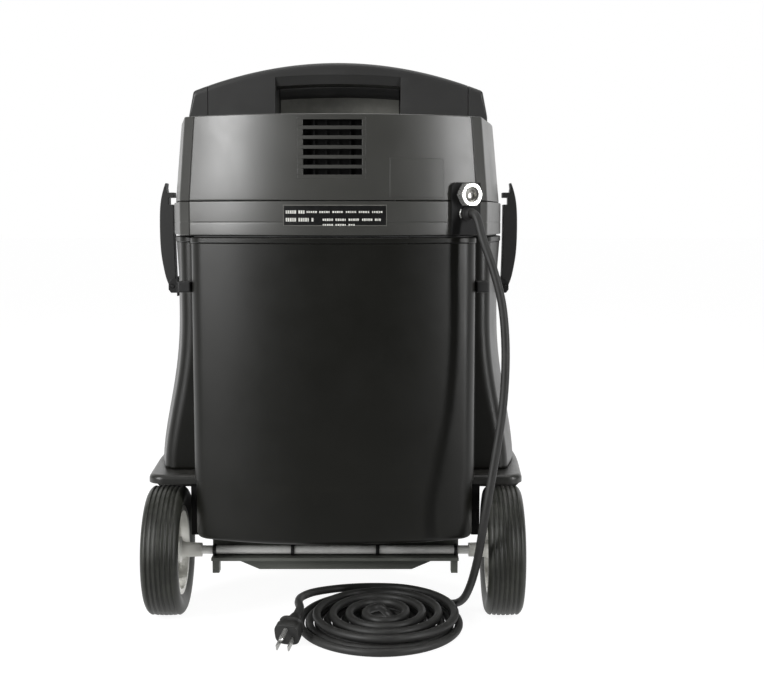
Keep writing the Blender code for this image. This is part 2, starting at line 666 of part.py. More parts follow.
def make_filter(paper, cage_finish, ball_finish):
    pleats, outer, valley, inner = 24, 0.086, 0.078, 0.060
    low, high = 0.245, HEAD_BOTTOM - GAP
    rings = []
    for z, pleated in ((low, True), (high, True), (high, False), (low, False)):
        ring = []
        for i in range(2 * pleats):
            turn = math.tau * i / (2 * pleats)
            radius = (outer, valley)[i % 2] if pleated else inner
            ring.append(Vector((radius * math.cos(turn), radius * math.sin(turn), z)))
        rings.append(ring)
    add("filter_cartridge", loft(rings, True), paper)
    cage = [(0.0195, 0.205), (0.0195, low - GAP), (0.064, low - GAP), (0.064, low - 0.004)]
    cage += [(0.024, low - 0.006), (0.024, 0.200), (0.010, 0.200), (0.010, 0.205)]
    add("float_cage", turned(cage, 18, True), cage_finish)
    ball = bmesh.new()
    bmesh.ops.create_uvsphere(ball, u_segments=12, v_segments=8, radius=0.015)
    add("float_ball", ball, ball_finish, (0, 0, 0.205 + 0.015 + GAP))


# ---------------------------------------------------------------- cord


def coil_point(angle, shrink, z):
    """A point on the coil's ellipse, moved in by the shrink."""
    x = COIL_CENTRE.x + (COIL_RADII.x - shrink) * math.cos(angle)
    y = COIL_CENTRE.y + (COIL_RADII.y - DEPTH_SHRINK * shrink) * math.sin(angle)
    return Vector((x, y, z))


def coil_points(per_turn=14):
    """A spiral inwards on the floor, and a wider spiral outwards on top of it."""
    step = math.tau / per_turn
    points = []
    for i in range(LOWER_TURNS * per_turn + 1):
        points.append(coil_point(COIL_START + i * step, LOWER_PITCH * i / per_turn, LOWER_Z))
    angle, shrink = COIL_START + LOWER_TURNS * math.tau, LOWER_PITCH * LOWER_TURNS
    for rise in (0.45, 1.0):
        angle += math.radians(30)
        shrink += LOWER_PITCH / 12
        points.append(coil_point(angle, shrink, LOWER_Z + (UPPER_Z - LOWER_Z) * rise))
    for i in range(1, UPPER_TURNS * per_turn + 1):
        points.append(coil_point(angle + i * step, shrink - UPPER_PITCH * i / per_turn, UPPER_Z))
    return points


def cord_path(start, out):
    """From the gland down past the right wheel, round the coil on the floor, and on to the plug."""
    hang = [start + out * 0.001, start + out * 0.0145]
    route = [(0.1545, -0.2080, 0.4450), (0.1600, -0.2140, 0.4240), (0.1720, -0.2220, 0.3880)]
    route += [(0.1805, -0.2270, 0.3500), (0.1835, -0.2300, 0.3000), (0.1805, -0.2330, 0.2450)]
    route += [(0.1720, -0.2380, 0.1900), (0.1620, -0.2400, 0.1300), (0.1560, -0.2220, 0.0800)]
    route += [(0.1500, -0.1850, 0.0380), (0.1420, -0.1560, 0.0140)]
    hang += [Vector(point) for point in route]
    rise = [coil_point(math.radians(turn), shrink, z) for turn, shrink, z in PLUG_RISE]
    end = PLUG_START - PLUG_AIM * 2 * GAP
    return hang + coil_points() + rise + [end - PLUG_AIM * 0.014, end]


def make_cord(start, out, finish):
    curve = bpy.data.curves.new("power_cord", "CURVE")
    curve.dimensions = "3D"
    curve.bevel_depth = CORD_RADIUS
    curve.bevel_resolution = 1
    curve.use_fill_caps = True
    spline = curve.splines.new("POLY")
    points = cord_path(start, out)
    spline.points.add(len(points) - 1)
    for point, place in zip(spline.points, points):
        point.co = (*place, 1.0)
    curve.materials.append(finish)
    obj = bpy.data.objects.new("power_cord", curve)
    bpy.context.collection.objects.link(obj)


def make_plug(finish, steel):
    """A three-pin plug that leans on its pins. Its local +X is the way that they point."""
    turn = (0, math.asin(-PLUG_AIM.z), math.atan2(PLUG_AIM.y, PLUG_AIM.x))
    sections = [(0.0, 0.0062, 0.0062), (0.010, 0.0072, 0.0072), (0.0135, 0.0115, 0.0110)]
    sections.append((0.0330, 0.0135, 0.0125))
    sides = 12
    rings = []
    for along, half_width, half_height in sections:
        turns = [math.tau * i / sides for i in range(sides)]
        rings.append([Vector((along, half_width * math.cos(a), half_height * math.sin(a))) for a in turns])
    add("plug_body", loft(rings), finish, PLUG_START, turn)
    face = sections[-1][0] + GAP
    for name, side in (("left", 1), ("right", -1)):
        middle = side * 0.00635
        blade = box((face, middle - 0.00075, -0.0075), (face + 0.0160, middle + 0.00075, -0.0013))
        add(f"plug_blade_{name}", blade, steel, PLUG_START, turn)
    pin = turned([(0.0024, 0), (0.0024, 0.016), (0.0014, 0.0180)], 10)
    place = PLUG_START + Euler(turn).to_matrix() @ Vector((face, 0, 0.0074))
    add("plug_earth_pin", pin, steel, place, (0, turn[1] + math.radians(90), turn[2]))


def main():
    clear_scene()
    body = material("body_plastic", (0.030, 0.030, 0.027), 0.42)
    head = material("head_plastic", (0.055, 0.055, 0.051), 0.45)
    black = material("black_plastic", (0.010, 0.010, 0.010), 0.40)
    rubber = material("rubber", (0.025, 0.026, 0.024), 0.65)
    rim_grey = material("rim_plastic", (0.42, 0.42, 0.41), 0.45)
    steel = material("zinc_steel", (0.62, 0.61, 0.58), 0.25, 1.0)
    label = material("label", (0.012, 0.012, 0.012), 0.35)
    paper = material("filter_paper", (0.75, 0.73, 0.66), 0.90)
    red = material("signal_plastic", (0.45, 0.04, 0.02), 0.40)

    make_container(body)
    make_rim(body)
    make_deck(body)
    make_frame(black)
    make_axle(steel, black)
    make_rear_wheels(rubber, rim_grey, rim_grey)
    make_castors(steel, rubber)
    make_latches(head, black, steel)
    make_corner_blocks(rubber)
    make_inlet(black)

    make_head_base(head, rubber)
    make_casing(head)
    make_grille(black)
    make_top(head, head)
    make_rear_details(label, head, black)
    start, out = make_fittings(steel, rubber)
    make_controls(black, head, black)

    make_motor(steel, black, black)
    make_filter(paper, black, red)
    make_cord(start, out, rubber)
    make_plug(rubber, steel)


main()
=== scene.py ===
import math

import bmesh
import bpy
from mathutils import Matrix, Vector


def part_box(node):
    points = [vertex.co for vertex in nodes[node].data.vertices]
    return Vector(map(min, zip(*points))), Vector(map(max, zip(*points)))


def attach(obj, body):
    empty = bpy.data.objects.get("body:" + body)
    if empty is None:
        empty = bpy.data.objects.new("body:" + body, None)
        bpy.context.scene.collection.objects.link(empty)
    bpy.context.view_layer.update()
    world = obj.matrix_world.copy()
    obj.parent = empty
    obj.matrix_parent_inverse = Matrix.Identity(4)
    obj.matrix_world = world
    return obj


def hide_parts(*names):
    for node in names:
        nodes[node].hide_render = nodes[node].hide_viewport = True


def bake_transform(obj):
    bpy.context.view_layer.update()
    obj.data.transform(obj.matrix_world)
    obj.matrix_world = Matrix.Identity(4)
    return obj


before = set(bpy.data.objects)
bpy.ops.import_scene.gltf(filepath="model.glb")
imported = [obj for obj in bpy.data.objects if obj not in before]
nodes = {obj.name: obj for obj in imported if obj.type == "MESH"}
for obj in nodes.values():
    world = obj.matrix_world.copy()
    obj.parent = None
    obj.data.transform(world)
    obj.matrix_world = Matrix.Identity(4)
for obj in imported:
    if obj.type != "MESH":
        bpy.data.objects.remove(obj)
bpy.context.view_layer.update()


def low(node):
    """The lower corner of a CAD node's box."""
    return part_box(node)[0]


def high(node):
    """The upper corner of a CAD node's box."""
    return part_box(node)[1]


def middle(node):
    """The middle of a CAD node's box."""
    return (low(node) + high(node)) / 2


# Levels and faces read from the frame
REAR_Y = low("container").y
FRONT_Y = high("container").y
TUB_BOTTOM = low("container").z
CONTAINER_TOP = high("container").z
DECK_TOP = high("deck").z
DECK_REAR = low("deck").y
DECK_FRONT = high("deck").y
HEAD_BOTTOM = low("head_base").z
GROOVE = high("head_base").z
CASING_FOOT = low("head_casing").z
CASING_TOP = high("head_casing").z
COVER_FOOT = low("top_cover").z
CROWN = high("carry_handle").z
HANDLE_REAR = low("carry_handle").y
HANDLE_FRONT = high("carry_handle").y
HANDLE_SEAM = high("carry_handle").x
WHEEL_CENTRE = middle("right_tyre")
WHEEL_RADIUS = (high("right_tyre") - low("right_tyre")).z / 2
TYRE_HALF = (high("right_tyre") - low("right_tyre")).x / 2

# Shape that the boxes do not give
QUARTER = math.pi / 2
GAP = 0.0004
WALL = 0.004
CORD_RADIUS = 0.0045
SHOULDER_Y = -0.118
PANEL_HALF = 0.1545
TUB_HALF = 0.153
SHOULDER_TOP = 0.5995
HANDLE_HALF = 0.0755
GRIP_BOTTOM = 0.607
FENDER_BOTTOM = 0.148
FINGER_SLOT = 0.026
CORNER_RISE = 0.042
CORNER_RUN = 0.087
FITTING_TURN = math.atan2(CORNER_RISE, CORNER_RUN)
FITTING_OUT = Vector((math.sin(FITTING_TURN), -math.cos(FITTING_TURN), 0))
CASTOR_Y = high("right_castor_fork").y - 0.021
SILL_BOTTOM = 0.128
VENT_LEFT, VENT_RIGHT = -0.0362, 0.0362
VENT_LOW, VENT_HIGH = 0.4880, 0.5525


# Mesh helpers


def loft(rings, closed=False):
    """Skins rings of equally many points. An open loft is capped, and a closed one ends on its first ring."""
    bm = bmesh.new()
    loops = [[bm.verts.new(point) for point in ring] for ring in rings]
    pairs = list(zip(loops, loops[1:]))
    if closed:
        pairs.append((loops[-1], loops[0]))
    else:
        bm.faces.new(reversed(loops[0]))
        bm.faces.new(loops[-1])
    for first, second in pairs:
        for i in range(len(first)):
            j = (i + 1) % len(first)
            bm.faces.new((first[i], first[j], second[j], second[i]))
    return bm


def mm(*points):
    """Points given in millimetres."""
    return [tuple(value / 1000 for value in point) for point in points]


def box(start, end):
    """A block between two opposite corners."""
    bm = bmesh.new()
    size = Vector(end) - Vector(start)
    matrix = Matrix.Translation((Vector(start) + Vector(end)) / 2) @ Matrix.Diagonal((*size, 1.0))
    bmesh.ops.create_cube(bm, size=1.0, matrix=matrix)
    return bm


def turned(profile, sides, closed=False):
    """A turned piece about Z, from (radius, height) points."""
    rings = [[Vector((r * math.cos(a), r * math.sin(a), z)) for a in around(sides)] for r, z in profile]
    return loft(rings, closed)


def prism_y(points, start, end):
    """An outline of (x, z) points, extruded along Y."""
    return loft([[Vector((x, y, z)) for x, z in points] for y in (end, start)])


def in_scene(name, data):
    """A new object with the data, linked to the scene."""
    obj = bpy.data.objects.new(name, data)
    bpy.context.scene.collection.objects.link(obj)
    return obj


def around(count):
    """Angles evenly spaced round a full turn."""
    return [math.tau * i / count for i in range(count)]


def quarter(steps):
    """How far a round edge still is from its wall and its top, at steps through the quarter turn."""
    turns = [QUARTER * i / steps for i in range(steps + 1)]
    return [(1 - math.sin(a), 1 - math.cos(a)) for a in turns]


def merged(parts):
    """One bmesh from several closed ones."""
    whole = bmesh.new()
    for part in parts:
        mesh = bpy.data.meshes.new("part")
        part.to_mesh(mesh)
        part.free()
        whole.from_mesh(mesh)
        bpy.data.meshes.remove(mesh)
    return whole


def piece(name, bm, finish, body=None, stands_for=(), bevel=0.0, place=None, angle=35):
    """A shown piece: a closed mesh with rounded edges, on its body, in the place of its CAD nodes."""
    bmesh.ops.recalc_face_normals(bm, faces=bm.faces)
    mesh = bpy.data.meshes.new(name)
    bm.to_mesh(mesh)
    bm.free()
    mesh.shade_smooth()
    mesh.set_sharp_from_angle(angle=math.radians(angle))
    mesh.materials.append(finish)
    obj = in_scene(name, mesh)
    if place is not None:
        obj.matrix_world = place
    if bevel:
        soften(obj, bevel)
    if body:
        settle(obj, body, stands_for)
    return obj


def settle(obj, body, stands_for=()):
    """Puts the piece on its body, in the place of its CAD nodes."""
    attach(obj, body)
    if stands_for:
        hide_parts(*stands_for)


def soften(obj, width, segments=3, weld=False):
    """Rounds the edges and evens out the shading of the flats between them."""
    if weld:
        step = obj.modifiers.new("weld", "WELD")
        step.merge_threshold = 0.00002
    step = obj.modifiers.new("round", "BEVEL")
    step.width = width
    step.segments = segments
    step.limit_method = "ANGLE"
    step.angle_limit = math.radians(35)
    step.use_clamp_overlap = True
    step.miter_outer = "MITER_ARC"
    step = obj.modifiers.new("normals", "WEIGHTED_NORMAL")
    step.keep_sharp = True
    step.weight = 60


def combine(target, bm, operation, place=None):
    """Joins or cuts the target with the bmesh, and keeps the result as the target's own mesh."""
    tool = piece(f"{target.name}_tool", bm, target.data.materials[0], place=place)
    step = target.modifiers.new("combine", "BOOLEAN")
    step.operation = operation
    step.solver = "EXACT"
    step.object = tool
    bpy.context.view_layer.update()
    graph = bpy.context.evaluated_depsgraph_get()
    made = bpy.data.meshes.new_from_object(target.evaluated_get(graph))
    target.modifiers.clear()
    target.data = made
    bpy.data.objects.remove(tool, do_unlink=True)


def cut(target, bm, place=None):
    """Cuts the bmesh out of the target."""
    combine(target, bm, "DIFFERENCE", place)


def placed(location, rotation=(0, 0, 0)):
    """A matrix that turns about X, Y and Z in that order, and then moves."""
    turn = Matrix.Rotation(rotation[2], 4, "Z") @ Matrix.Rotation(rotation[1], 4, "Y")
    return Matrix.Translation(location) @ turn @ Matrix.Rotation(rotation[0], 4, "X")


def smooth_path(points, steps):
    """A Catmull-Rom curve through the points."""
    ends = [points[0] * 2 - points[1]] + list(points) + [points[-1] * 2 - points[-2]]
    path = []
    for a, b, c, d in zip(ends, ends[1:], ends[2:], ends[3:]):
        for i in range(steps):
            t = i / steps
            path.append((b * 2 + (c - a) * t + (a * 2 - b * 5 + c * 4 - d) * t * t
                         + (b * 3 - a - c * 3 + d) * t ** 3) / 2)
    path.append(points[-1].copy())
    return path


def tube(path, radius, sides=16):
    """A round tube along the path, with its frame carried along so that it does not twist."""
    rings = []
    side = None
    for i, point in enumerate(path):
        along = (path[min(i + 1, len(path) - 1)] - path[max(i - 1, 0)]).normalized()
        if side is None:
            side = along.orthogonal().normalized()
        side = (side - along * side.dot(along)).normalized()
        up = along.cross(side)
        rings.append([point + (side * math.cos(a) + up * math.sin(a)) * radius for a in around(sides)])
    return loft(rings)


# Outlines


def rounded(before, corner, after, setback):
    """Points of a circular arc that starts and ends the setback away from the corner."""
    steps = 14 if setback > 0.03 else 8
    start = corner + (before - corner).normalized() * setback
    end = corner + (after - corner).normalized() * setback
    weight = math.sqrt(max(0.0, (1 + (corner - start).normalized().dot((end - corner).normalized())) / 2))
    points = []
    for i in range(steps + 1):
        t = i / steps
        parts = ((1 - t) ** 2, 2 * t * (1 - t) * weight, t * t)
        points.append((start * parts[0] + corner * parts[1] + end * parts[2]) / sum(parts))
    return points


def outline(corners):
    """A plan that is alike on both sides, from the (x, y, setback) corners of its +X half, rear to front."""
    places = [Vector(corner[:2]) for corner in corners]
    half = [places[0]]
    for i, (_, _, setback) in enumerate(corners[1:-1], start=1):
        if setback:
            half += rounded(places[i - 1], places[i], places[i + 1], setback)
        else:
            half.append(places[i])
    half.append(places[-1])
    return half + [Vector((-point.x, point.y)) for point in reversed(half[1:-1])]


def inset(ring, distance):
    """The outline moved inwards by the distance, or outwards where it is negative."""
    moved = []
    for i, point in enumerate(ring):
        along = (ring[(i + 1) % len(ring)] - ring[i - 1]).normalized()
        moved.append(point + Vector((-along.y, along.x)) * distance)
    return moved


def at(ring, z):
    """The outline at a level."""
    return [Vector((*point, z)) for point in ring]


def flare(z):
    """0 above the skirt and 1 at its foot."""
    t = min(1.0, max(0.0, (0.345 - z) / 0.190)) ** 1.3
    return t * t * (3 - 2 * t)


def container_outline(z):
    """The container's plan at a level, with its shoulders and the skirt's flare."""
    bulge = 0.0041 * max(0.0, z - 0.380) / 0.040
    side = 0.2015 + 0.0215 * flare(z) + bulge
    shoulder = 0.1745 + 0.0225 * flare(z)
    return outline([
        (0, REAR_Y, 0),
        (0.080, REAR_Y, 0.062),
        (PANEL_HALF, REAR_Y + 0.030, 0.014),
        (PANEL_HALF + 0.001, SHOULDER_Y, 0.005),
        (shoulder, SHOULDER_Y, 0.013),
        (side, 0.010, 0.080),
        (0.165, FRONT_Y - 0.012, 0.070),
        (0, FRONT_Y, 0),
    ])


def tub_outline():
    """The plan of the part of the container that hangs down through the deck."""
    return outline([
        (0, REAR_Y, 0),
        (0.080, REAR_Y, 0.062),
        (TUB_HALF, REAR_Y + 0.030, 0.014),
        (TUB_HALF + 0.0002, SHOULDER_Y, 0.005),
        (TUB_HALF, SHOULDER_Y + 0.040, 0.013),
        (TUB_HALF - 0.001, 0.010, 0.050),
        (TUB_HALF - 0.005, 0.205, 0.050),
        (0, 0.215, 0),
    ])


def deck_outline():
    """The deck's plan."""
    return outline([
        (0, DECK_REAR, 0),
        (0.2120, DECK_REAR, 0.018),
        (0.2210, 0.010, 0.060),
        (0.2060, 0.170, 0.060),
        (0.1680, DECK_FRONT - 0.012, 0.065),
        (0, DECK_FRONT, 0),
    ])


def head_outline(z, crease=0.0):
    """The head's plan at a level. A crease is a groove where the flat on each rear corner starts."""
    lean = max(0.0, z - GROOVE) / (CASING_TOP - GROOVE)
    side_x = 0.2035 + (0.003 if z <= GROOVE else 0.0) - 0.009 * lean
    bend = Vector((0.080, REAR_Y))
    corner = Vector((0.080 + CORNER_RUN - 0.007 * lean, REAR_Y + CORNER_RISE))
    wall = (corner - bend).normalized()
    start = corner - wall * 0.0125
    end = corner + (Vector((side_x, 0.010)) - corner).normalized() * 0.0045
    flat = (end - start).normalized()
    inward = Vector((-wall.y, wall.x)) * crease
    edge = [start]
    if crease:
        edge = [start - wall * 0.0010, start - wall * 0.0004 + inward]
        edge += [start + flat * 0.0004 + inward, start + flat * 0.0010]
    return outline([
        (0, REAR_Y, 0),
        (*bend, 0.072),
        *[(*point, 0) for point in edge],
        (*end, 0.003),
        (side_x, 0.010, 0.090),
        (0.165 - 0.007 * lean, FRONT_Y - 0.012, 0.070),
        (0, FRONT_Y, 0),
    ])


def wall_point(x, z, out, level=None):
    """A point on the head's rear wall at x, moved out from it."""
    plan = [p for p in head_outline(z if level is None else level) if p.y < SHOULDER_Y]
    wall = sorted(plan, key=lambda p: p.x)
    left, right = next((a, b) for a, b in zip(wall, wall[1:]) if a.x <= x <= b.x)
    slope = (right - left).normalized()
    place = left + (right - left) * (x - left.x) / (right.x - left.x)
    place += Vector((slope.y, -slope.x)) * out
    return Vector((place.x, place.y, z))


def rear_patch(x_low, x_high, z_low, z_high, out_low, out_high, level=None):
    """A panel that follows the head's rear wall, between two distances out from it."""
    steps = max(2, math.ceil((x_high - x_low) / 0.004))
    across = [x_low + (x_high - x_low) * i / steps for i in range(steps + 1)]
    rings = []
    for z in (z_low, z_high):
        outer = [wall_point(x, z, out_high, level) for x in across]
        inner = [wall_point(x, z, out_low, level) for x in across]
        rings.append(outer + inner[::-1])
    return loft(rings)


# Materials


class Nodes:
    """A short way to write the node tree of a material or of the world."""

    def __init__(self, owner, shader):
        owner.use_nodes = True
        self.tree = owner.node_tree
        self.shader = self.tree.nodes[shader]
        self.coordinates = self.add("ShaderNodeTexCoord").outputs
        self.place = self.coordinates["Object"]

    def add(self, kind, inputs=(), **settings):
        """A new node with its settings, and its inputs given as values or as sockets to wire."""
        node = self.tree.nodes.new(kind)
        for key, value in settings.items():
            setattr(node, key, value)
        self.fill(node, inputs)
        return node

    def fill(self, node, inputs):
        """Fills a node's inputs with values or wires. A colour needs no alpha."""
        for name, value in dict(inputs).items():
            socket = node.inputs[name]
            if isinstance(value, bpy.types.NodeSocket):
                self.tree.links.new(value, socket)
            elif socket.type == "RGBA":
                socket.default_value = (*value, 1.0)
            else:
                socket.default_value = value

    def noise(self, scale, detail=3.0, roughness=0.55, stretch=None):
        """Cloudy noise from 0 to 1, stretched along an axis where that is below 1."""
        source = self.place
        if stretch:
            source = self.add("ShaderNodeMapping", {"Vector": source, "Scale": stretch}).outputs["Vector"]
        inputs = {"Vector": source, "Scale": scale, "Detail": detail, "Roughness": roughness}
        return self.add("ShaderNodeTexNoise", inputs).outputs["Fac"]

    def cells(self, scale):
        """The distance to the middle of the nearest cell."""
        return self.add("ShaderNodeTexVoronoi", {"Vector": self.place, "Scale": scale}).outputs["Distance"]

    def spread(self, source, from_low, from_high, to_low, to_high):
        """The source's range, mapped to another range and clamped to it."""
        inputs = {"From Min": from_low, "From Max": from_high, "To Min": to_low, "To Max": to_high}
        return self.add("ShaderNodeMapRange", {"Value": source, **inputs}).outputs["Result"]

    def axis(self, source, name):
        """One axis of a vector."""
        return self.add("ShaderNodeSeparateXYZ", {"Vector": source}).outputs[name]

    def geometry(self, name):
        """One of the facts that Blender gives about the place that is shaded."""
        return self.add("ShaderNodeNewGeometry").outputs[name]

    def for_camera(self, seen, otherwise):
        """The seen value for camera rays, and the other socket's value for all the rest."""
        camera = self.add("ShaderNodeLightPath").outputs["Is Camera Ray"]
        return self.add("ShaderNodeMix", {0: camera, 2: otherwise, 3: seen}).outputs[0]

    def mix(self, factor, first, second):
        """A colour between the first and the second, which are colours or sockets."""
        node = self.add("ShaderNodeMix", {0: factor}, data_type="RGBA")
        ends = [i for i, socket in enumerate(node.inputs) if socket.type == "RGBA"]
        self.fill(node, zip(ends, (first, second)))
        return next(socket for socket in node.outputs if socket.type == "RGBA")

    def math(self, operation, first, second):
        """Two numbers or sockets, added or multiplied."""
        return self.add("ShaderNodeMath", {0: first, 1: second}, operation=operation).outputs["Value"]

    def bump(self, height, strength, distance, normal=None):
        """Relief from a height, on top of the relief in the normal if one is given."""
        inputs = {"Height": height, "Strength": strength, "Distance": distance}
        if normal is not None:
            inputs["Normal"] = normal
        return self.add("ShaderNodeBump", inputs).outputs["Normal"]

    def up_facing(self):
        """0 on walls and 1 on faces that look straight up."""
        return self.spread(self.axis(self.geometry("Normal"), "Z"), 0.45, 1.0, 0.0, 1.0)

    def edges(self):
        """1 on convex edges, where handling rubs the finish."""
        return self.spread(self.geometry("Pointiness"), 0.53, 0.62, 0.0, 1.0)


def material(name):
    """A new material and its node writer."""
    made = bpy.data.materials.new(name)
    return made, Nodes(made, "Principled BSDF")


def scaled(colour, factor):
    """The colour made lighter or darker."""
    return tuple(min(1.0, channel * factor) for channel in colour)


def plastic(name, colour, roughness, grain=1500.0, grain_depth=0.00006, wear=1.35, dust=0.25, sheen=0.5):
    """Moulded plastic: spark-eroded grain, slow changes of tone and gloss, rubbed edges and settled dust."""
    made, n = material(name)
    tone = n.noise(9.0, 4.0)
    colour_now = n.mix(n.spread(tone, 0.3, 0.7, 0.0, 1.0), scaled(colour, 0.90), scaled(colour, 1.10))
    rubbed = n.math("MULTIPLY", n.edges(), n.spread(n.noise(60.0, 5.0), 0.40, 0.62, 0.15, 0.75))
    colour_now = n.mix(rubbed, colour_now, scaled(colour, wear))
    settled = n.math("MULTIPLY", n.up_facing(), n.spread(n.noise(140.0, 6.0, 0.7), 0.42, 0.70, 0.0, dust))
    colour_now = n.mix(settled, colour_now, (0.20, 0.19, 0.17))
    gloss = n.spread(n.noise(22.0, 5.0, 0.6), 0.25, 0.75, roughness - 0.04, roughness + 0.05)
    gloss = n.math("ADD", gloss, n.math("MULTIPLY", settled, 0.3))
    pits = n.bump(n.cells(grain), 0.35, grain_depth)
    fine = n.bump(n.noise(grain * 0.7, 4.0, 0.65), 0.40, grain_depth, pits)
    wave = n.bump(n.noise(14.0, 1.0), 0.10, 0.0006, fine)
    looks = {"Base Color": colour_now, "Roughness": gloss, "Normal": wave, "Specular IOR Level": sheen}
    n.fill(n.shader, looks)
    return made


def rubber(name, colour, roughness, scuff=1.8, dust=0.3):
    """Rubber: matt, with fine pores and chalky scuffs."""
    made, n = material(name)
    patches = n.spread(n.noise(38.0, 6.0, 0.65), 0.42, 0.72, 0.0, 1.0)
    colour_now = n.mix(patches, scaled(colour, 0.85), scaled(colour, scuff))
    settled = n.math("MULTIPLY", n.up_facing(), n.spread(n.noise(160.0, 6.0, 0.7), 0.45, 0.7, 0.0, dust))
    colour_now = n.mix(settled, colour_now, (0.17, 0.16, 0.15))
    gloss = n.spread(patches, 0.0, 1.0, roughness, roughness + 0.10)
    pores = n.bump(n.cells(1900.0), 0.35, 0.00008)
    fine = n.bump(n.noise(700.0, 5.0, 0.7), 0.40, 0.00012, pores)
    n.fill(n.shader, {"Base Color": colour_now, "Roughness": gloss, "Normal": fine})
    return made


def metal(name, colour, roughness, stretch=(1.0, 1.0, 1.0), stain=0.75, metallic=1.0):
    """Bare metal with drawn lines along one axis and faint tarnish."""
    made, n = material(name)
    tarnish = n.spread(n.noise(70.0, 6.0, 0.65), 0.45, 0.75, 0.0, 1.0)
    lines = n.noise(900.0, 3.0, 0.6, stretch)
    gloss = n.spread(lines, 0.3, 0.7, roughness - 0.05, roughness + 0.08)
    looks = {"Base Color": n.mix(tarnish, colour, scaled(colour, stain)), "Roughness": gloss}
    n.fill(n.shader, {**looks, "Metallic": metallic, "Normal": n.bump(lines, 0.15, 0.00004)})
    return made


def printed_film(name, colour):
    """A smooth printed film under a thin gloss, with a slightly wavy face."""
    made, n = material(name)
    tone = n.spread(n.noise(120.0, 4.0), 0.35, 0.7, 0.0, 1.0)
    gloss = n.spread(n.noise(260.0, 3.0), 0.3, 0.7, 0.28, 0.38)
    wave = n.bump(n.noise(55.0, 2.0), 0.2, 0.0002)
    ink = n.mix(tone, colour, scaled(colour, 1.35))
    n.fill(n.shader, {"Base Color": ink, "Roughness": gloss, "Normal": wave})
    return made


def filter_paper(name):
    """Fibrous paper, soiled in patches."""
    made, n = material(name)
    fibres = n.noise(420.0, 7.0, 0.7, (1.0, 1.0, 0.25))
    soiled = n.spread(n.noise(16.0, 5.0), 0.40, 0.70, 0.0, 0.8)
    paper = n.mix(n.spread(fibres, 0.3, 0.7, 0.0, 1.0), (0.66, 0.63, 0.54), (0.80, 0.78, 0.71))
    used = n.mix(soiled, paper, (0.34, 0.31, 0.26))
    n.fill(n.shader, {"Base Color": used, "Roughness": 0.92, "Normal": n.bump(fibres, 0.5, 0.0003)})
    return made


HEAD = plastic("head_shell_plastic", (0.038, 0.038, 0.034), 0.38, sheen=0.90)
COVER = plastic("top_cover_plastic", (0.027, 0.027, 0.0265), 0.44)
BODY = plastic("container_plastic", (0.0050, 0.0050, 0.0035), 0.38, sheen=0.42)
WING = plastic("deck_plastic", (0.024, 0.024, 0.022), 0.36)
BLACK = plastic("black_plastic", (0.010, 0.010, 0.010), 0.42, grain=1200.0)
# A dull black: the corner plate's own colour, and painted shade on the sheets in the wheel wells.
PLATE_AND_SHADE = plastic("plate_plastic_and_painted_shade", (0.006, 0.006, 0.006), 0.60, sheen=0.25)
# Painted light: this plastic is light grey, far lighter than the shell, standing in for the light that falls
# through the hand slot onto its far wall.
POCKET_PAINTED_LIGHT = plastic("pocket_plastic_painted_light", (0.16, 0.16, 0.145), 0.50, sheen=0.3)
# Painted shade: near black and dull, for the ribs and the sheet behind the grille, where the inside of the
# vent lies in shade.
PAINTED_SHADE = plastic("inner_plastic_painted_shade", (0.004, 0.004, 0.004), 0.70, dust=0.0, sheen=0.15)
FRAME = plastic("frame_plastic", (0.120, 0.126, 0.112), 0.50, dust=0.4)
RIM = plastic("rim_plastic", (0.70, 0.695, 0.655), 0.42, wear=1.15, dust=0.2)
SIGNAL = plastic("signal_plastic", (0.45, 0.04, 0.02), 0.35)
TYRE = rubber("tyre_rubber", (0.017, 0.018, 0.014), 0.42)
CORD = rubber("cord_rubber", (0.020, 0.020, 0.019), 0.52, scuff=1.4, dust=0.1)
SEAL = rubber("seal_rubber", (0.014, 0.014, 0.014), 0.60)
ZINC = metal("zinc_steel", (0.62, 0.61, 0.58), 0.30)
CHROME = metal("chrome_steel", (0.58, 0.58, 0.56), 0.26, stain=0.85, metallic=0.75)
# Painted reflection: the axle is near white and barely metallic, standing in for the bright reflection of its
# chrome.
AXLE_PAINTED_REFLECTION = metal("axle_steel_painted_reflection", (0.94, 0.94, 0.91), 0.30, stretch=(0.05, 1.0, 1.0), stain=0.9, metallic=0.10)
LABEL = printed_film("label_film", (0.006, 0.006, 0.006))
PRINT = printed_film("label_print", (0.62, 0.62, 0.58))
BORDER = printed_film("label_border", (0.11, 0.11, 0.10))
PAPER = filter_paper("filter_paper")


# Container


def make_container():
    """A deep tub with a flared skirt over the deck and the bore for the hose inlet."""
    tub = tub_outline()
    foot = DECK_TOP + GAP
    floor_z = TUB_BOTTOM + WALL
    step_z = foot + WALL
    levels = [foot + 0.0036 + (CONTAINER_TOP - foot - 0.0036) * i / 26 for i in range(27)]
    rings = []
    for short, rise in quarter(6):
        rings.append(at(inset(tub, 0.006 * short), TUB_BOTTOM + 0.006 * rise))
    rings += [at(tub, z) for z in (0.110, 0.130, 0.150, foot)]
    skirt = container_outline(DECK_TOP)
    for distance, rise in ((0.0025, 0.0), (0.0008, 0.0008), (0.0, 0.0022)):
        pairs = zip(skirt, inset(skirt, distance))
        ring = [point if point.y < SHOULDER_Y - 0.01 else edge for point, edge in pairs]
        rings.append(at(ring, foot + rise))
    rings += [at(container_outline(z), z) for z in levels]
    for z in (CONTAINER_TOP, 0.360, 0.300, 0.260, 0.230, 0.200, step_z):
        rings.append(at(inset(container_outline(max(z, DECK_TOP)), WALL), z))
    rings += [at(inset(tub, WALL), step_z), at(inset(tub, WALL), floor_z)]
    container = piece("container_shell", loft(rings), BODY)
    inlet = middle("hose_inlet")
    bore = turned(mm((26, 200), (26, 250)), 48)
    cut(container, bore, placed((0, 0, inlet.z), (-QUARTER, 0, 0)))
    soften(container, 0.0006, 2)
    settle(container, "chassis", ["container"])


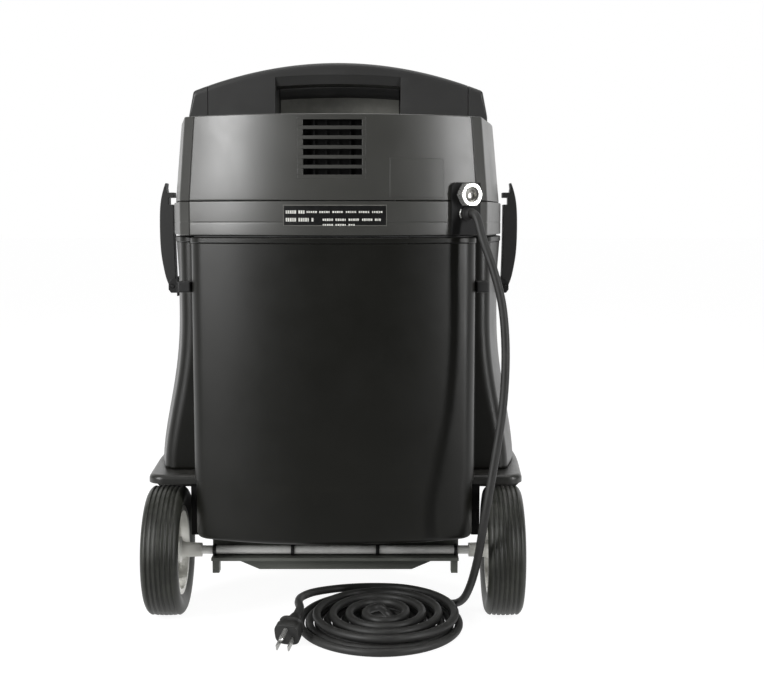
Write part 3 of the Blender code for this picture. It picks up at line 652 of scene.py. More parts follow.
def make_rim():
    """The rolled rim along the container's top edge."""
    top = container_outline(CONTAINER_TOP)
    start, end = low("container_rim").z, high("container_rim").z
    outer, inner = inset(top, -0.0010), inset(top, 0.008)
    rim = loft([at(outer, start), at(outer, end), at(inner, end), at(inner, start)], True)
    piece("container_top_rim", rim, BODY, "chassis", ["container_rim"], 0.0012)


def make_deck():
    """The deck with its fenders, wheel arches and castor sockets, and a near-black sheet in each wheel well
    that is painted shade.
    """
    edge = inset(deck_outline(), 0.0002)
    radius = 0.0055
    rings = [at(inset(edge, 0.004), SILL_BOTTOM), at(edge, SILL_BOTTOM + 0.004)]
    for short, rise in quarter(7):
        rings.append(at(inset(edge, radius * rise), DECK_TOP - radius * short))
    deck = piece("deck_moulding", loft(rings), WING)
    hole = inset(tub_outline(), -0.0008)
    cut(deck, loft([at(hole, SILL_BOTTOM - 0.01), at(hole, DECK_TOP + 0.01)]))
    for side in (-1, 1):
        arch = sorted((side * 0.120, side * 0.240))
        cut(deck, box((arch[0], -0.200, SILL_BOTTOM - 0.01), (arch[1], -0.068, FENDER_BOTTOM)))
        place = placed((side * middle("right_castor_fork").x, CASTOR_Y, 0))
        combine(deck, turned([(0.019, 0.0995), (0.019, SILL_BOTTOM + 0.004)], 32), "UNION", place)
        cut(deck, turned(mm((6.2, 90), (6.2, 131)), 32), place)
        # A near-black sheet in the wheel well, painted shade where the well lies dark.
        walls = sorted((side * 0.1545, side * 0.1640))
        wall = box((walls[0], DECK_REAR + 0.006, 0.0880), (walls[1], -0.060, FENDER_BOTTOM + 0.002))
        name = "left" if side < 0 else "right"
        piece(f"{name}_well_painted_shade", wall, PLATE_AND_SHADE, "chassis", bevel=0.0008)
    soften(deck, 0.0010, 3)
    settle(deck, "chassis", ["deck"])


# Running gear


def make_tyres():
    """Tyres with ribs and grooves round the tread."""
    half, radius, inner = TYRE_HALF, WHEEL_RADIUS, 0.0505
    pitch, width, depth, ribs = 0.0052, 0.0014, 0.0013, 6
    side = [(inner, half - 0.0047), (0.0555, half - 0.0022), (0.0600, half - 0.0004), (0.0640, half)]
    side += [(0.0672, half - 0.0005), (0.0696, half - 0.0018)]
    side += [(0.0714, half - 0.0036), (0.0724, half - 0.0052)]
    tread = []
    for i in range(ribs):
        z = (i - (ribs - 1) / 2) * pitch
        crown = radius - 0.0010 * (abs(z) / (half - 0.005)) ** 2
        tread += [(crown, z - width), (crown - depth * 0.8, z - width / 2), (crown - depth, z)]
        tread += [(crown - depth * 0.8, z + width / 2), (crown, z + width)]
        if i < ribs - 1:
            tread.append((radius - 0.0010 * (abs(z + pitch / 2) / (half - 0.005)) ** 2, z + pitch / 2))
    profile = [(r, -z) for r, z in side] + tread + [(r, z) for r, z in reversed(side)]
    for name, sign in (("left", -1), ("right", 1)):
        place = placed(middle(f"{name}_tyre"), (0, sign * QUARTER, 0))
        tyre = turned(profile, 112, True)
        piece(f"{name}_tyre_rubber", tyre, TYRE, f"{name}_wheel", [f"{name}_tyre"], 0.0, place, 50)


def make_rims():
    """Rims with six windows each, and their hub covers."""
    outer, bore = 0.0501, 0.0055
    profile = [(bore, -0.038), (0.0078, -0.038), (0.0083, -0.020), (0.0100, -0.0155), (0.0145, -0.0140)]
    profile += [(0.0148, -0.0040), (0.0400, -0.0040), (0.0430, -0.0060), (0.0440, -0.0165), (outer, -0.0165)]
    profile += [(outer, 0.0165), (0.0440, 0.0165), (0.0430, 0.0060), (0.0400, 0.0040), (0.0148, 0.0040)]
    profile += [(0.0145, 0.0125), (bore, 0.0125)]
    windows = 6
    corners = mm((18.5, -3), (36.5, -14.5), (39.2, -12), (40.5, 0), (39.2, 12), (36.5, 14.5), (18.5, 3))
    for name, sign in (("left", -1), ("right", 1)):
        rim = piece(f"{name}_rim_spoked", turned(profile, 84, True), RIM)
        for turn in around(windows):
            window = loft([at(corners, z) for z in (-0.01, 0.01)])
            cut(rim, window, placed((0, 0, 0), (0, 0, turn)))
        rim.matrix_world = placed(Vector((sign * WHEEL_CENTRE.x, WHEEL_CENTRE.y, WHEEL_CENTRE.z)),
                                  (0, sign * QUARTER, 0))
        soften(rim, 0.0007, 2)
        settle(rim, f"{name}_wheel", [f"{name}_rim"])
        cap = mm((15.5, 12.9), (16.5, 13.5), (16.5, 15), (15.8, 17), (14.2, 18.8), (11, 20), (6, 20.5))
        piece(f"{name}_hub_cover", turned(cap, 56), RIM, f"{name}_wheel", [f"{name}_hub_cap"],
              0.0, rim.matrix_world.copy(), 50)


def make_castor_wheels():
    """Small solid wheels for the front castors."""
    tread = mm((3.6, 10.5), (8, 10.5), (9.5, 8), (24, 7.5), (26.5, 10), (32, 10.6), (35, 9.6), (36.8, 7.4),
               (37.5, 4))
    profile = [(r, -z) for r, z in tread] + [(r, z) for r, z in reversed(tread)]
    for name in ("left", "right"):
        place = placed(middle(f"{name}_castor_wheel"), (0, QUARTER, 0))
        piece(f"{name}_castor_tyre", turned(profile, 72, True), TYRE, f"{name}_castor_roller",
              [f"{name}_castor_wheel"], 0.0, place, 40)


def make_latches():
    """Each lever is a crescent with a thin finger tab on top and a notch that hooks over the head's ledge."""
    outer = mm((3.5, -3), (8.4, 10), (11.8, 25.7), (13.9, 40), (14.9, 56), (15.1, 75), (14.6, 92),
               (13, 106), (10, 118), (7.4, 125.3))
    hook = mm((5.9, 124.8), (6.6, 119), (5.8, 113.7), (-2.9, 113.7), (-2.9, 107.3), (3.7, 107.3),
              (3.7, 99.2), (-1.8, 99.2))
    inner = mm((-1.8, 96), (-2.2, 50), (-3.4, 8), (-4.2, 1.5), (-3.5, -2.8), (0, -4.5))
    curve = [tuple(p) for p in smooth_path([Vector(p) for p in outer], 5)]
    back = [tuple(p) for p in smooth_path([Vector(p) for p in inner], 3)]
    lever_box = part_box("right_latch_lever")
    half = (lever_box[1] - lever_box[0]).y / 2
    for name, sign in (("left", -1), ("right", 1)):
        lever = piece(f"{name}_latch_arm", prism_y(curve + hook + back, -half, half), COVER)
        cut(lever, turned(mm((2.5, -30), (2.5, 30)), 24), placed((0, 0, 0), (QUARTER, 0, 0)))
        pivot = middle("right_latch_pin")
        turn = 0 if sign > 0 else math.pi
        lever.matrix_world = placed((sign * pivot.x, pivot.y, pivot.z), (0, 0, turn))
        soften(lever, 0.0006, 2)
        settle(lever, f"{name}_latch", [f"{name}_latch_lever"])


def make_inlet():
    """The hose port on the front of the container."""
    bore, flange, tube_radius, length = 0.025, 0.043, 0.0325, 0.030
    profile = [(bore, 0), (flange - 0.0006, 0), (flange, 0.0008), (flange, 0.0032), (flange - 0.0010, 0.0042)]
    profile += [(tube_radius + 0.0030, 0.0050), (tube_radius + 0.0008, 0.0060), (tube_radius, 0.0085)]
    profile += [(tube_radius, 0.0200), (tube_radius - 0.0012, 0.0206), (tube_radius - 0.0012, 0.0226)]
    profile += [(tube_radius, 0.0232), (tube_radius, length - 0.0010), (tube_radius - 0.0010, length)]
    profile += [(bore + 0.0015, length), (bore, length - 0.0015)]
    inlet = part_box("hose_inlet")
    place = placed((middle("hose_inlet").x, inlet[0].y, middle("hose_inlet").z), (-QUARTER, 0, 0))
    piece("hose_inlet_port", turned(profile, 72, True), BLACK, "chassis", ["hose_inlet"],
          0.0, place)


# Head


def make_head_base():
    """The lower band of the head, with a crease round it."""
    band = head_outline(GROOVE, 0.0010)
    crease_z = HEAD_BOTTOM + 0.0139
    rings = [at(inset(band, 0.0012), HEAD_BOTTOM), at(inset(band, 0.0003), HEAD_BOTTOM + 0.0003)]
    rings += [at(band, HEAD_BOTTOM + 0.0012), at(band, crease_z - 0.0012), at(inset(band, 0.0005), crease_z)]
    rings += [at(band, crease_z + 0.0012), at(band, GROOVE - 0.0012)]
    rings.append(at(inset(band, 0.0004), GROOVE - 0.0004))
    rings += [at(inset(band, 0.0012), GROOVE), at(inset(band, WALL), GROOVE)]
    rings.append(at(inset(band, WALL), HEAD_BOTTOM + 0.005))
    base = piece("head_base_band", loft(rings), HEAD)
    cut(base, turned(mm((62, 420), (62, 440)), 64))
    soften(base, 0.0004, 2)
    settle(base, "head", ["head_base"])


def make_casing():
    """The upper shell of the head, open at the vent."""
    foot, top, edge, crease = CASING_FOOT, CASING_TOP, 0.0012, 0.0009
    rings = []
    for short, rise in quarter(4):
        rings.append(at(inset(head_outline(top, crease), edge * short), top - edge * rise))
    rings += [at(head_outline(z, crease), z) for z in (0.540, 0.520, 0.500, 0.480, foot + edge)]
    rings += [at(inset(head_outline(foot, crease), distance), foot + distance) for distance in (0.0004, 0.0)]
    rings += [at(inset(head_outline(z, crease), WALL), z) for z in (foot, 0.510, top - WALL)]
    casing = piece("head_casing_shell", loft(rings), HEAD)
    cut(casing, box((VENT_LEFT, -0.230, VENT_LOW), (VENT_RIGHT, -0.190, VENT_HIGH)))
    soften(casing, 0.0004, 2)
    settle(casing, "head", ["head_casing"])


def make_grille():
    """Louvres across the vent, flush with the wall, with upright ribs and a sheet behind them, both painted
    near black as the shade inside the vent.
    """
    slots, pitch, height = 6, 0.0102, 0.0066
    slot_left, slot_right, rear_out = -0.0302, 0.0322, -0.0036
    lowest = 0.5212 - pitch * (slots - 1) / 2
    edges = [VENT_LOW]
    for i in range(slots):
        edges += [lowest + pitch * i - height / 2, lowest + pitch * i + height / 2]
    edges.append(VENT_HIGH)
    spans = [(VENT_LEFT, VENT_RIGHT, a, b) for a, b in zip(edges[::2], edges[1::2])]
    for start, end in ((VENT_LEFT, slot_left), (slot_right, VENT_RIGHT)):
        spans += [(start, end, a, b) for a, b in zip(edges[1::2], edges[2::2])]
    parts = [rear_patch(*span, rear_out, -0.0001) for span in spans]
    piece("exhaust_grille", merged(parts), HEAD, "head", ["vent_grille"], 0.0003)
    # The ribs and the sheet behind the louvres are painted near black as the shade inside the vent.
    ribs = [rear_patch(x - 0.0007, x + 0.0007, edges[1], edges[-2], -0.0090, -0.0065)
            for x in (-0.0190, -0.0060, 0.0070, 0.0200)]
    piece("grille_ribs", merged(ribs), PAINTED_SHADE, "head")
    shade_sheet = rear_patch(-0.040, 0.040, VENT_LOW - 0.004, VENT_HIGH - 0.001, -0.0120, -0.0100)
    piece("grille_shade_sheet", shade_sheet, PAINTED_SHADE, "head")


def arch_section(y, base, shoulder, shoulder_z, crown_z, steps=40):
    """A cross-section of the top at one depth: upright cheeks under a shallow arch."""
    right = [Vector((base, COVER_FOOT))]
    second = Vector((shoulder * (1 - 2 / steps), crown_z - (crown_z - shoulder_z) * (1 - 2 / steps) ** 2))
    right += rounded(right[0], Vector((shoulder, shoulder_z)), second, 0.003)
    for i in range(steps - 2, -1, -2):
        x = shoulder * i / steps
        right.append(Vector((x, crown_z - (crown_z - shoulder_z) * (x / shoulder) ** 2)))
    left = [Vector((-point.x, point.y)) for point in reversed(right[:-1])]
    return [Vector((point.x, y, point.y)) for point in right + left]


def top_dome():
    """The whole top, before it is split into the cover and the handle. Its rear edge is a broad fillet."""
    fillet = 0.0065
    stations = [
        (HANDLE_REAR, 0.1825, 0.1742, SHOULDER_TOP, CROWN),
        (HANDLE_REAR + 0.050, 0.1825, 0.1742, SHOULDER_TOP - 0.002, CROWN - 0.001),
        (0.110, 0.1780, 0.1650, SHOULDER_TOP - 0.010, CROWN - 0.010),
        (0.170, 0.1700, 0.1500, SHOULDER_TOP - 0.022, CROWN - 0.026),
        (0.2285, 0.1600, 0.1300, SHOULDER_TOP - 0.034, CROWN - 0.046),
    ]
    sections = []
    for short, rise in quarter(6):
        drop = fillet * short
        y, base, shoulder, shoulder_z, crown_z = stations[0]
        y += 0.75 * fillet * rise
        sections.append(arch_section(y, base - 0.1 * drop, shoulder - 0.4 * drop,
                                     shoulder_z - drop, crown_z - drop))
    curve = smooth_path([Vector(station[:3]) for station in stations], 6)
    tops = smooth_path([Vector((*station[3:], 0)) for station in stations], 6)
    for (y, base, shoulder), (shoulder_z, crown_z, _) in zip(curve, tops):
        if y > HANDLE_REAR + 0.75 * fillet + 0.002:
            sections.append(arch_section(y, base, shoulder, shoulder_z, crown_z))
    return loft(sections[::-1])


def make_top():
    """The cover with its hand slot, and the arched handle."""
    slot_rear, slot_front = HANDLE_FRONT + GAP, HANDLE_FRONT + GAP + FINGER_SLOT
    slot_floor = 0.5580
    plan = inset(head_outline(CASING_TOP), 0.006)
    levels = (CASING_TOP - 0.01, CROWN + 0.02)
    cover = piece("top_cover_shell", top_dome(), COVER)
    combine(cover, loft([at(plan, z) for z in levels]), "INTERSECT")
    seam = HANDLE_SEAM + GAP
    cut(cover, box((-seam, HANDLE_REAR - 0.01, levels[0]), (seam, slot_rear, levels[1])))
    cut(cover, box((-HANDLE_HALF, slot_rear - 0.01, slot_floor), (HANDLE_HALF, slot_front, levels[1])))
    soften(cover, 0.0007, 2)
    settle(cover, "head", ["top_cover"])
    handle = piece("carry_handle_grip", top_dome(), COVER)
    seam = HANDLE_SEAM - GAP
    ends = box((-seam, HANDLE_REAR - 0.01, levels[0]), (seam, HANDLE_FRONT, levels[1]))
    combine(handle, ends, "INTERSECT")
    arch = [HANDLE_HALF * (i / 12 - 1) for i in range(25)]
    opening = [(HANDLE_HALF, slot_floor), (-HANDLE_HALF, slot_floor)]
    opening += [(x, GRIP_BOTTOM + 0.0010 - 0.0030 * (x / HANDLE_HALF) ** 2) for x in arch]
    cut(handle, prism_y(opening, -0.05, 0.10))
    scoop = []
    for x in arch:
        top = 0.6185 - 0.0030 * (x / HANDLE_HALF) ** 2
        section = [(-0.010, top), (0.0004, top), (0.0062, GRIP_BOTTOM - 0.005)]
        section += [(0.0036, 0.5950), (-0.010, 0.5950)]
        scoop.append([Vector((x, HANDLE_REAR + y, z)) for y, z in section])
    cut(handle, loft(scoop))
    soften(handle, 0.0010, 3)
    settle(handle, "head", ["carry_handle"])


def make_pocket_lip():
    """The rounded lip over the far wall of the hand hole. It follows the arch of the dome. A thin sheet on
    the far wall under it is painted light grey, a painted pool of the light that falls in through the slot.
    """
    far_wall, half = HANDLE_FRONT + GAP + FINGER_SLOT, HANDLE_HALF - 0.0012
    low_z, high_z = 0.5970, 0.6135
    section = [(-0.0080, low_z + 0.0055), (-0.0070, low_z + 0.0025), (-0.0045, low_z + 0.0006)]
    section += [(0.0020, low_z), (0.0020, high_z)]
    section += [(-0.0040, high_z), (-0.0066, high_z - 0.0016), (-0.0080, high_z - 0.0048)]
    rings = []
    for i in range(25):
        x = half * (i / 12 - 1)
        drop = 0.0028 * (x / half) ** 2
        rings.append([Vector((x, far_wall + y, z - drop)) for y, z in section])
    piece("pocket_lip", loft(rings), COVER, "head")
    # A thin sheet on the far wall, painted light grey as the light that falls in through the slot.
    wall = box((-half, far_wall - 0.0012, 0.5585), (half, far_wall + 0.0010, low_z + 0.0020))
    piece("pocket_wall_painted_light", wall, POCKET_PAINTED_LIGHT, "head", bevel=0.0003)


def make_rear_details():
    """The label, its dashes and the blank service cover."""
    label_low, label_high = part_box("rating_label")
    left, right, bottom, top = label_low.x, label_high.x, label_low.z, label_high.z
    film = rear_patch(left, right, bottom, top, 0.0001, 0.0005, GROOVE)
    piece("rating_label_film", film, BORDER, "head", ["rating_label"], 0.0001)
    edge = 0.0011
    field = rear_patch(left + edge, right - edge, bottom + edge, top - edge, 0.0003, 0.0007, GROOVE)
    piece("label_field", field, LABEL, "head")
    # Each row: its height on the label, its start, half its thickness and its count of dashes
    rows = [(0.66, 0.002, 0.0017, 9), (0.66, 0.024, 0.0010, 36), (0.30, 0.002, 0.0019, 13)]
    rows += [(0.30, 0.041, 0.0012, 27), (0.06, 0.041, 0.0009, 15)]
    bars = []
    for share, start, half, dashes in rows:
        z = bottom + (top - bottom) * share
        x = left + edge + start
        for i in range(dashes):
            length = 0.0012 + 0.0008 * (i * 7 % 5) / 4
            if i % 6 != 5 and x + length < right - 0.003:
                bars.append(rear_patch(x, x + length, z - half, z + half, 0.0006, 0.0009, GROOVE))
            x += length + 0.0007
    piece("label_bars", merged(bars), PRINT, "head")
    cover_low, cover_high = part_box("service_cover")
    plate = rear_patch(cover_low.x, cover_high.x, cover_low.z, cover_high.z, -0.0004, 0.0006, 0.49)
    piece("service_cover_plate", plate, HEAD, "head", ["service_cover"], 0.0004)


def make_connector_plate():
    """The black corner plate that carries the air fitting and the cord, with rounded upper corners."""
    start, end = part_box("connector_plate")
    out_high = 0.0040
    x_low, x_high, radius = start.x, end.x - out_high * math.sin(FITTING_TURN), 0.0060
    columns = [x_low + radius * rise for _, rise in quarter(8)]
    columns += [x_low + radius + (x_high - x_low - radius) * i / 8 for i in range(1, 9)]
    rings = []
    for x in columns:
        drop = 0.0
        if x < x_low + radius:
            drop = radius - math.sqrt(max(0.0, radius ** 2 - (x_low + radius - x) ** 2))
        heights = [start.z, GROOVE, end.z - drop - 0.004, end.z - drop]
        outer = [wall_point(x, z, out_high, GROOVE) for z in heights]
        inner = [wall_point(x, z, GAP, GROOVE) for z in heights]
        rings.append(outer + inner[::-1])
    piece("corner_plate", loft(rings), PLATE_AND_SHADE, "head", ["connector_plate"], 0.0006)


def make_air_fitting():
    """A chamfered hex nut with a turned core."""
    length, hexagon, bore = 0.0105, 0.0135, 0.0078
    place = placed(middle("air_fitting") - FITTING_OUT * length / 2, (QUARTER, 0, FITTING_TURN))
    nut = piece("air_fitting_nut", turned([(hexagon, 0), (hexagon, length)], 6), CHROME)
    chamfer = [(0.0001, 0), (hexagon - 0.0014, 0), (hexagon + 0.0001, 0.0010)]
    chamfer += [(hexagon + 0.0001, length - 0.0014), (hexagon - 0.0016, length), (0.0001, length)]
    combine(nut, turned(chamfer, 64), "INTERSECT")
    drill = [(bore, -0.01), (bore, length - 0.0008), (bore + 0.0008, length), (bore + 0.0012, 0.02)]
    cut(nut, turned(drill, 48))
    nut.matrix_world = place
    soften(nut, 0.00025, 2)
    settle(nut, "head", ["air_fitting"])
    core = [(0.0001, 0.0016), (bore - 0.0001, 0.0016), (bore - 0.0001, 0.0080), (bore - 0.0012, 0.0090)]
    core += [(bore - 0.0024, 0.0084), (bore - 0.0030, 0.0060), (0.0030, 0.0050), (0.0001, 0.0050)]
    piece("air_fitting_core", turned(core, 40), ZINC, "head", place=place)


def make_gland():
    """A ribbed boot round the cord, held by two small clips."""
    depth = 0.012
    place = placed(middle("cord_gland") - FITTING_OUT * depth / 2, (QUARTER, 0, FITTING_TURN))
    bore = CORD_RADIUS + GAP
    boot = [(bore, 0), (0.0072, 0), (0.0072, 0.0030), (0.0066, 0.0034), (0.0066, 0.0044), (0.0070, 0.0048)]
    boot += [(0.0069, 0.0060), (0.0062, 0.0064), (0.0062, 0.0074), (0.0065, 0.0078), (0.0063, 0.0092)]
    boot += [(0.0058, 0.0110), (0.0054, depth), (bore, depth)]
    piece("cord_boot", turned(boot, 40, True), SEAL, "head", ["cord_gland"], 0.0, place)
    for name, side in (("left", -1), ("right", 1)):
        arc = []
        for i in range(9):
            a = math.radians(-32 + 64 * i / 8)
            arc.append(Vector((side * 0.0086 * math.cos(a), 0.0086 * math.sin(a), 0.0012)))
        clip = piece(f"boot_clip_{name}", tube(arc, 0.0009, 12), CHROME, place=place)
        settle(clip, "head", ())


def knob_mesh(radius, height, ridges):
    """A control knob: a skirt, a ridged grip and a raised pointer."""
    rings = []
    profile = [(1.00, 0.0), (1.00, 0.0040), (0.97, 0.0050), (0.86, 0.0058), (0.84, 0.0070)]
    profile += [(0.82, height - 0.0010), (0.78, height), (0.30, height - 0.0004)]
    sides = ridges * 6
    for share, z in profile:
        ring = []
        for a in around(sides):
            wave = 0.022 * math.cos(ridges * a) if 0.80 < share < 0.86 else 0.0
            reach = radius * (share + wave)
            ring.append(Vector((reach * math.cos(a), reach * math.sin(a), z)))
        rings.append(ring)
    return loft(rings)


def make_controls():
    """Two knobs with pointers, and tick marks round them."""
    forward = (-QUARTER, 0, 0)
    knobs = [("selector_knob", "selector", "selector_grip", 0.0165)]
    knobs.append(("suction_knob", "suction_dial", "suction_grip", 0.0140))
    for node, body, name, radius in knobs:
        centre, base_y = middle(node), low(node).y
        knob = piece(name, knob_mesh(radius, 0.0135, 18), COVER)
        combine(knob, box((-0.0020, -radius * 0.80, 0.010), (0.0020, radius * 0.80, 0.0180)), "UNION")
        knob.matrix_world = placed((centre.x, base_y, centre.z), forward)
        soften(knob, 0.0004, 2)
        settle(knob, body, [node])
        pointer = box((-0.0006, -radius * 0.76, 0.0179), (0.0006, -radius * 0.30, 0.0183))
        piece(f"{name}_mark", pointer, PRINT, body, place=knob.matrix_world.copy())
    panel_y = high("control_panel").y
    ticks = []
    upright = Matrix.Scale(-1, 4, (0, 1, 0))
    dials = (("selector_knob", 0.0195, -90, 90, 3), ("suction_knob", 0.0168, -135, 135, 11))
    for node, radius, start, end, count in dials:
        centre = middle(node)
        for i in range(count):
            a = math.radians(start + (end - start) * i / (count - 1))
            size = 0.0030 if i % 5 == 0 or count == 3 else 0.0016
            tick = box((-0.0003, radius, -0.0001), (0.0003, radius + size, 0.0002))
            bmesh.ops.rotate(tick, verts=tick.verts, matrix=Matrix.Rotation(a, 3, "Z"))
            tick.transform(placed((centre.x, panel_y, centre.z), forward) @ upright)
            bmesh.ops.recalc_face_normals(tick, faces=tick.faces)
            ticks.append(tick)
    piece("control_ticks", merged(ticks), PRINT, "head")


def make_filter():
    """A pleated paper cartridge between two moulded end rings."""
    start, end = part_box("filter_cartridge")
    pleats, outer, valley, inner = 64, 0.0845, 0.0745, 0.0600
    bottom, top = start.z + 0.004, end.z - 0.004
    rings = []
    for z, pleated in ((bottom, True), (top, True), (top, False), (bottom, False)):
        ring = []
        for i, a in enumerate(around(4 * pleats)):
            radius = (outer, (outer + valley) / 2, valley, (outer + valley) / 2)[i % 4] if pleated else inner
            ring.append(Vector((radius * math.cos(a), radius * math.sin(a), z)))
        rings.append(ring)
    piece("filter_pleats", loft(rings, True), PAPER, "head", ["filter_cartridge"], angle=60)
    for name, foot in (("lower", start.z), ("upper", end.z - 0.0048)):
        near, far, head = inner - 0.001, 0.0855, foot + 0.0048
        ring = turned([(near, foot), (far, foot), (far, head), (near, head)], 72, True)
        piece(f"filter_ring_{name}", ring, BLACK, "head", bevel=0.0008)


def make_float_ball():
    """A ball with a moulding seam round its middle."""
    centre = middle("float_ball")
    radius = (high("float_ball") - low("float_ball")).z / 2
    count = 20
    turns = [math.pi * i / count for i in range(1, count)]
    profile = [(radius * math.sin(a), -radius * math.cos(a)) for a in turns]
    seam = [(r + (0.0 if abs(z) > 0.0006 else -0.0003), z) for r, z in profile]
    piece("float_shell", turned(seam, 40), SIGNAL, "float", ["float_ball"],
          place=placed(centre))


# Cord

COIL_CENTRE = Vector((0.0528, -0.2000))
COIL_RADII = Vector((0.0935, 0.1094))
COIL_START = math.radians(38)
DEPTH_SHRINK = 1.12
LOWER_TURNS, LOWER_PITCH = 8, 0.0098
UPPER_TURNS, UPPER_PITCH = 4, 0.0180
LOWER_Z = CORD_RADIUS + 0.0003
UPPER_Z = 3 * CORD_RADIUS + 0.0012
PLUG_START = Vector((-0.0388, -0.2442, 0.0244))
PLUG_AIM = Vector((-0.235, -0.916, -0.321)).normalized()
PLUG_RISE = ((122, 0.0040, 0.0160), (146, 0.0010, 0.0200), (166, 0.0010, 0.0245), (184, 0.0022, 0.0290))


def coil_point(angle, shrink, z):
    """A point on the coil's ellipse, moved in by the shrink."""
    x = COIL_CENTRE.x + (COIL_RADII.x - shrink) * math.cos(angle)
    y = COIL_CENTRE.y + (COIL_RADII.y - DEPTH_SHRINK * shrink) * math.sin(angle)
    return Vector((x, y, z))


def coil_points(per_turn=14):
    """A spiral inwards on the floor, and a wider spiral outwards on top of it."""
    step = math.tau / per_turn
    points = []
    for i in range(LOWER_TURNS * per_turn + 1):
        points.append(coil_point(COIL_START + i * step, LOWER_PITCH * i / per_turn, LOWER_Z))
    angle, shrink = COIL_START + LOWER_TURNS * math.tau, LOWER_PITCH * LOWER_TURNS
    for rise in (0.45, 1.0):
        angle += math.radians(30)
        shrink += LOWER_PITCH / 12
        points.append(coil_point(angle, shrink, LOWER_Z + (UPPER_Z - LOWER_Z) * rise))
    for i in range(1, UPPER_TURNS * per_turn + 1):
        points.append(coil_point(angle + i * step, shrink - UPPER_PITCH * i / per_turn, UPPER_Z))
    return points


def cord_points():
    """From the gland down behind the right wheel, round the coil, and out over it to the plug."""
    start = middle("cord_gland") - FITTING_OUT * 0.006
    hang = [start + FITTING_OUT * 0.001, start + FITTING_OUT * 0.0145]
    route = mm((154.5, -208, 445), (160, -214, 424), (172, -222, 388), (180.5, -227, 350),
               (183.5, -230, 300), (180.5, -233, 245), (172, -238, 190), (162, -240, 130), (156, -222, 80),
               (150, -185, 38), (142, -156, 14))
    hang += [Vector(point) for point in route]
    rise = [coil_point(math.radians(turn), shrink, z) for turn, shrink, z in PLUG_RISE]
    end = PLUG_START - PLUG_AIM * 2 * GAP
    return hang + coil_points() + rise + [end - PLUG_AIM * 0.014, end]


def make_cord():
    """A tube along the cord's path, kept off the floor, in the place of the CAD cord."""
    path = smooth_path(cord_points(), 5)
    for point in path:
        point.z = max(point.z, CORD_RADIUS + 0.0001)
    cord = piece("mains_cord", tube(path, CORD_RADIUS, 16), CORD, angle=60)
    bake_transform(cord)
    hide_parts("power_cord")


def make_plug():
    """A moulded three-pin plug with a waisted grip and a wide collar behind its face."""
    turn = (0, math.asin(-PLUG_AIM.z), math.atan2(PLUG_AIM.y, PLUG_AIM.x))
    sections = mm((0, 5.6, 5.6), (3, 6.2, 6.2), (8, 6.8, 6.8), (11.5, 8.8, 8.5), (14, 12.2, 11.2),
                  (16.5, 12.8, 11.8), (18.5, 11.2, 10.8), (21.5, 11.2, 10.8), (24, 13.4, 12.4),
                  (32, 13.5, 12.5), (33, 12.8, 11.8))
    sides = 40
    rings = []
    for along, half_width, half_height in sections:
        ring = []
        for a in around(sides):
            square = 0.62 + 0.38 * min(1.0, (0.0140 - min(along, 0.0140)) / 0.0140)
            c, s = math.cos(a), math.sin(a)
            ring.append(Vector((along, half_width * math.copysign(abs(c) ** square, c),
                                half_height * math.copysign(abs(s) ** square, s))))
        rings.append(ring)
    piece("plug_moulding", loft(rings), CORD, "chassis", ["plug_body"],
          place=placed(PLUG_START, turn), angle=40)


# CAD nodes that stay


def keep_nodes():
    """These nodes have the right shape already: they get rounded edges and a finish."""
    kept = {
        "chassis_frame": (FRAME, 0.0012),
        "rear_axle": (AXLE_PAINTED_REFLECTION, 0.0004),
        "head_seal": (SEAL, 0.0003),
        "control_panel": (BLACK, 0.0012),
        "tool_socket": (BLACK, 0.0008),
        "socket_flap": (BLACK, 0.0004),
        "motor_housing": (BLACK, 0.0008),
        "motor_plate": (BLACK, 0.0008),
        "motor_rotor": (ZINC, 0.0004),
        "lower_bearing": (CHROME, 0.0003),
        "upper_bearing": (CHROME, 0.0003),
        "float_cage": (BLACK, 0.0005),
        "plug_blade_left": (CHROME, 0.0002),
        "plug_blade_right": (CHROME, 0.0002),
        "plug_earth_pin": (CHROME, 0.0002),
    }
    for side in ("left", "right"):
        kept[f"{side}_latch_bracket"] = (BLACK, 0.0004)
        kept[f"{side}_latch_pin"] = (BLACK, 0.0002)
        kept[f"{side}_corner_block"] = (SEAL, 0.0016)
        kept[f"{side}_castor_fork"] = (ZINC, 0.0004)
        kept[f"{side}_castor_pin"] = (ZINC, 0.0003)
    kept.update({name: (BLACK, 0.0002) for name in nodes if name.startswith("axle_clip")})
    for name, (finish, width) in kept.items():
        node = nodes[name]
        for material_slot in node.material_slots:
            material_slot.material = finish
        soften(node, width, 2, weld=True)


# Stage


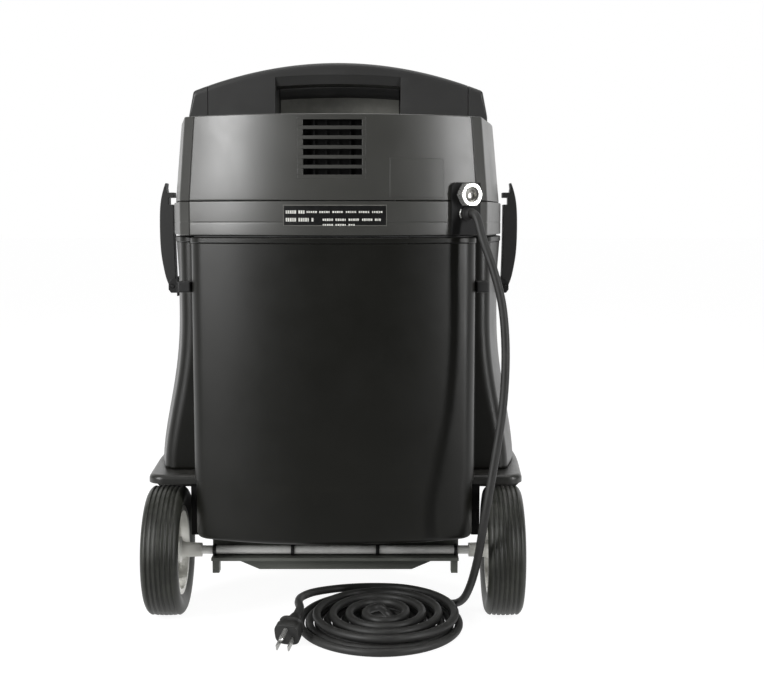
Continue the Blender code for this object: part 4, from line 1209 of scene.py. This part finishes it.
def make_floor():
    """A pale floor that mostly glows, brightest in front of the machine, so that its shadows stay faint."""
    bm = bmesh.new()
    bmesh.ops.create_grid(bm, x_segments=1, y_segments=1, size=30.0)
    mesh = bpy.data.meshes.new("floor")
    bm.to_mesh(mesh)
    bm.free()
    floor = in_scene("floor", mesh)
    floor.location.z = -0.0002
    made, n = material("floor_white")
    n.fill(n.shader, {"Base Color": (0.86, 0.86, 0.86), "Roughness": 0.8})
    strength = n.for_camera(0.92, n.spread(n.axis(n.geometry("Position"), "Y"), -0.50, 0.0, 0.04, 1.0))
    glow = n.add("ShaderNodeEmission", {"Strength": strength}).outputs["Emission"]
    black = n.add("ShaderNodeBsdfDiffuse", {"Color": (0, 0, 0)}).outputs["BSDF"]
    inputs = {"Fac": 0.25, 1: black, 2: n.shader.outputs["BSDF"]}
    surface = n.add("ShaderNodeMixShader", inputs).outputs["Shader"]
    both = n.add("ShaderNodeAddShader", {0: glow, 1: surface}).outputs["Shader"]
    n.fill(n.tree.nodes["Material Output"], {"Surface": both})
    mesh.materials.append(made)


def make_world():
    """White for the camera. For everything else, bright in front of the machine and dim behind the camera."""
    world = bpy.data.worlds.new("studio")
    bpy.context.scene.world = world
    n = Nodes(world, "Background")
    depth = n.axis(n.coordinates["Generated"], "Y")
    strength = n.for_camera(1.0, n.spread(depth, 0.20, 0.80, 0.02, 1.25))
    n.fill(n.shader, {"Strength": strength, "Color": (1, 1, 1)})


def area_light(name, location, aim, size, watts):
    """A rectangular light that points at the aim."""
    light = bpy.data.lights.new(name, "AREA")
    light.shape = "RECTANGLE"
    light.size, light.size_y = size
    light.energy = watts
    obj = in_scene(name, light)
    obj.location = location
    obj.rotation_euler = (Vector(aim) - Vector(location)).to_track_quat("-Z", "Y").to_euler()


def make_lights():
    """A soft light at the left, a narrow one at the right and a weak one overhead."""
    aim = (0, -0.2, 0.45)
    area_light("left_soft", (-1.80, -1.66, 1.15), aim, (0.9, 1.4), 60)
    area_light("right_strip", (1.78, -1.25, 0.85), aim, (0.14, 1.4), 25)
    area_light("overhead", (0.1, -0.1, 2.3), (0, 0, 0.5), (1.8, 1.4), 16)


def make_camera():
    """Behind the machine, a little to its right, and pitched slightly down."""
    data = bpy.data.cameras.new("camera")
    data.lens = 59.9
    data.sensor_width = 36.0
    pitch = 5.84
    camera = in_scene("camera", data)
    camera.location = (0.053, -1.564, 0.445)
    camera.rotation_euler = (math.radians(90 - pitch), 0, 0)
    bpy.context.scene.camera = camera


steps = [make_container, make_rim, make_deck, make_tyres, make_rims, make_castor_wheels, make_latches]
steps += [make_inlet, make_head_base, make_casing, make_grille, make_top, make_pocket_lip]
steps += [make_rear_details, make_connector_plate, make_air_fitting, make_gland, make_controls]
steps += [make_filter, make_float_ball, make_cord, make_plug, keep_nodes]
steps += [make_floor, make_world, make_lights, make_camera]
for step in steps:
    step()

bpy.context.scene.view_settings.view_transform = "Standard"
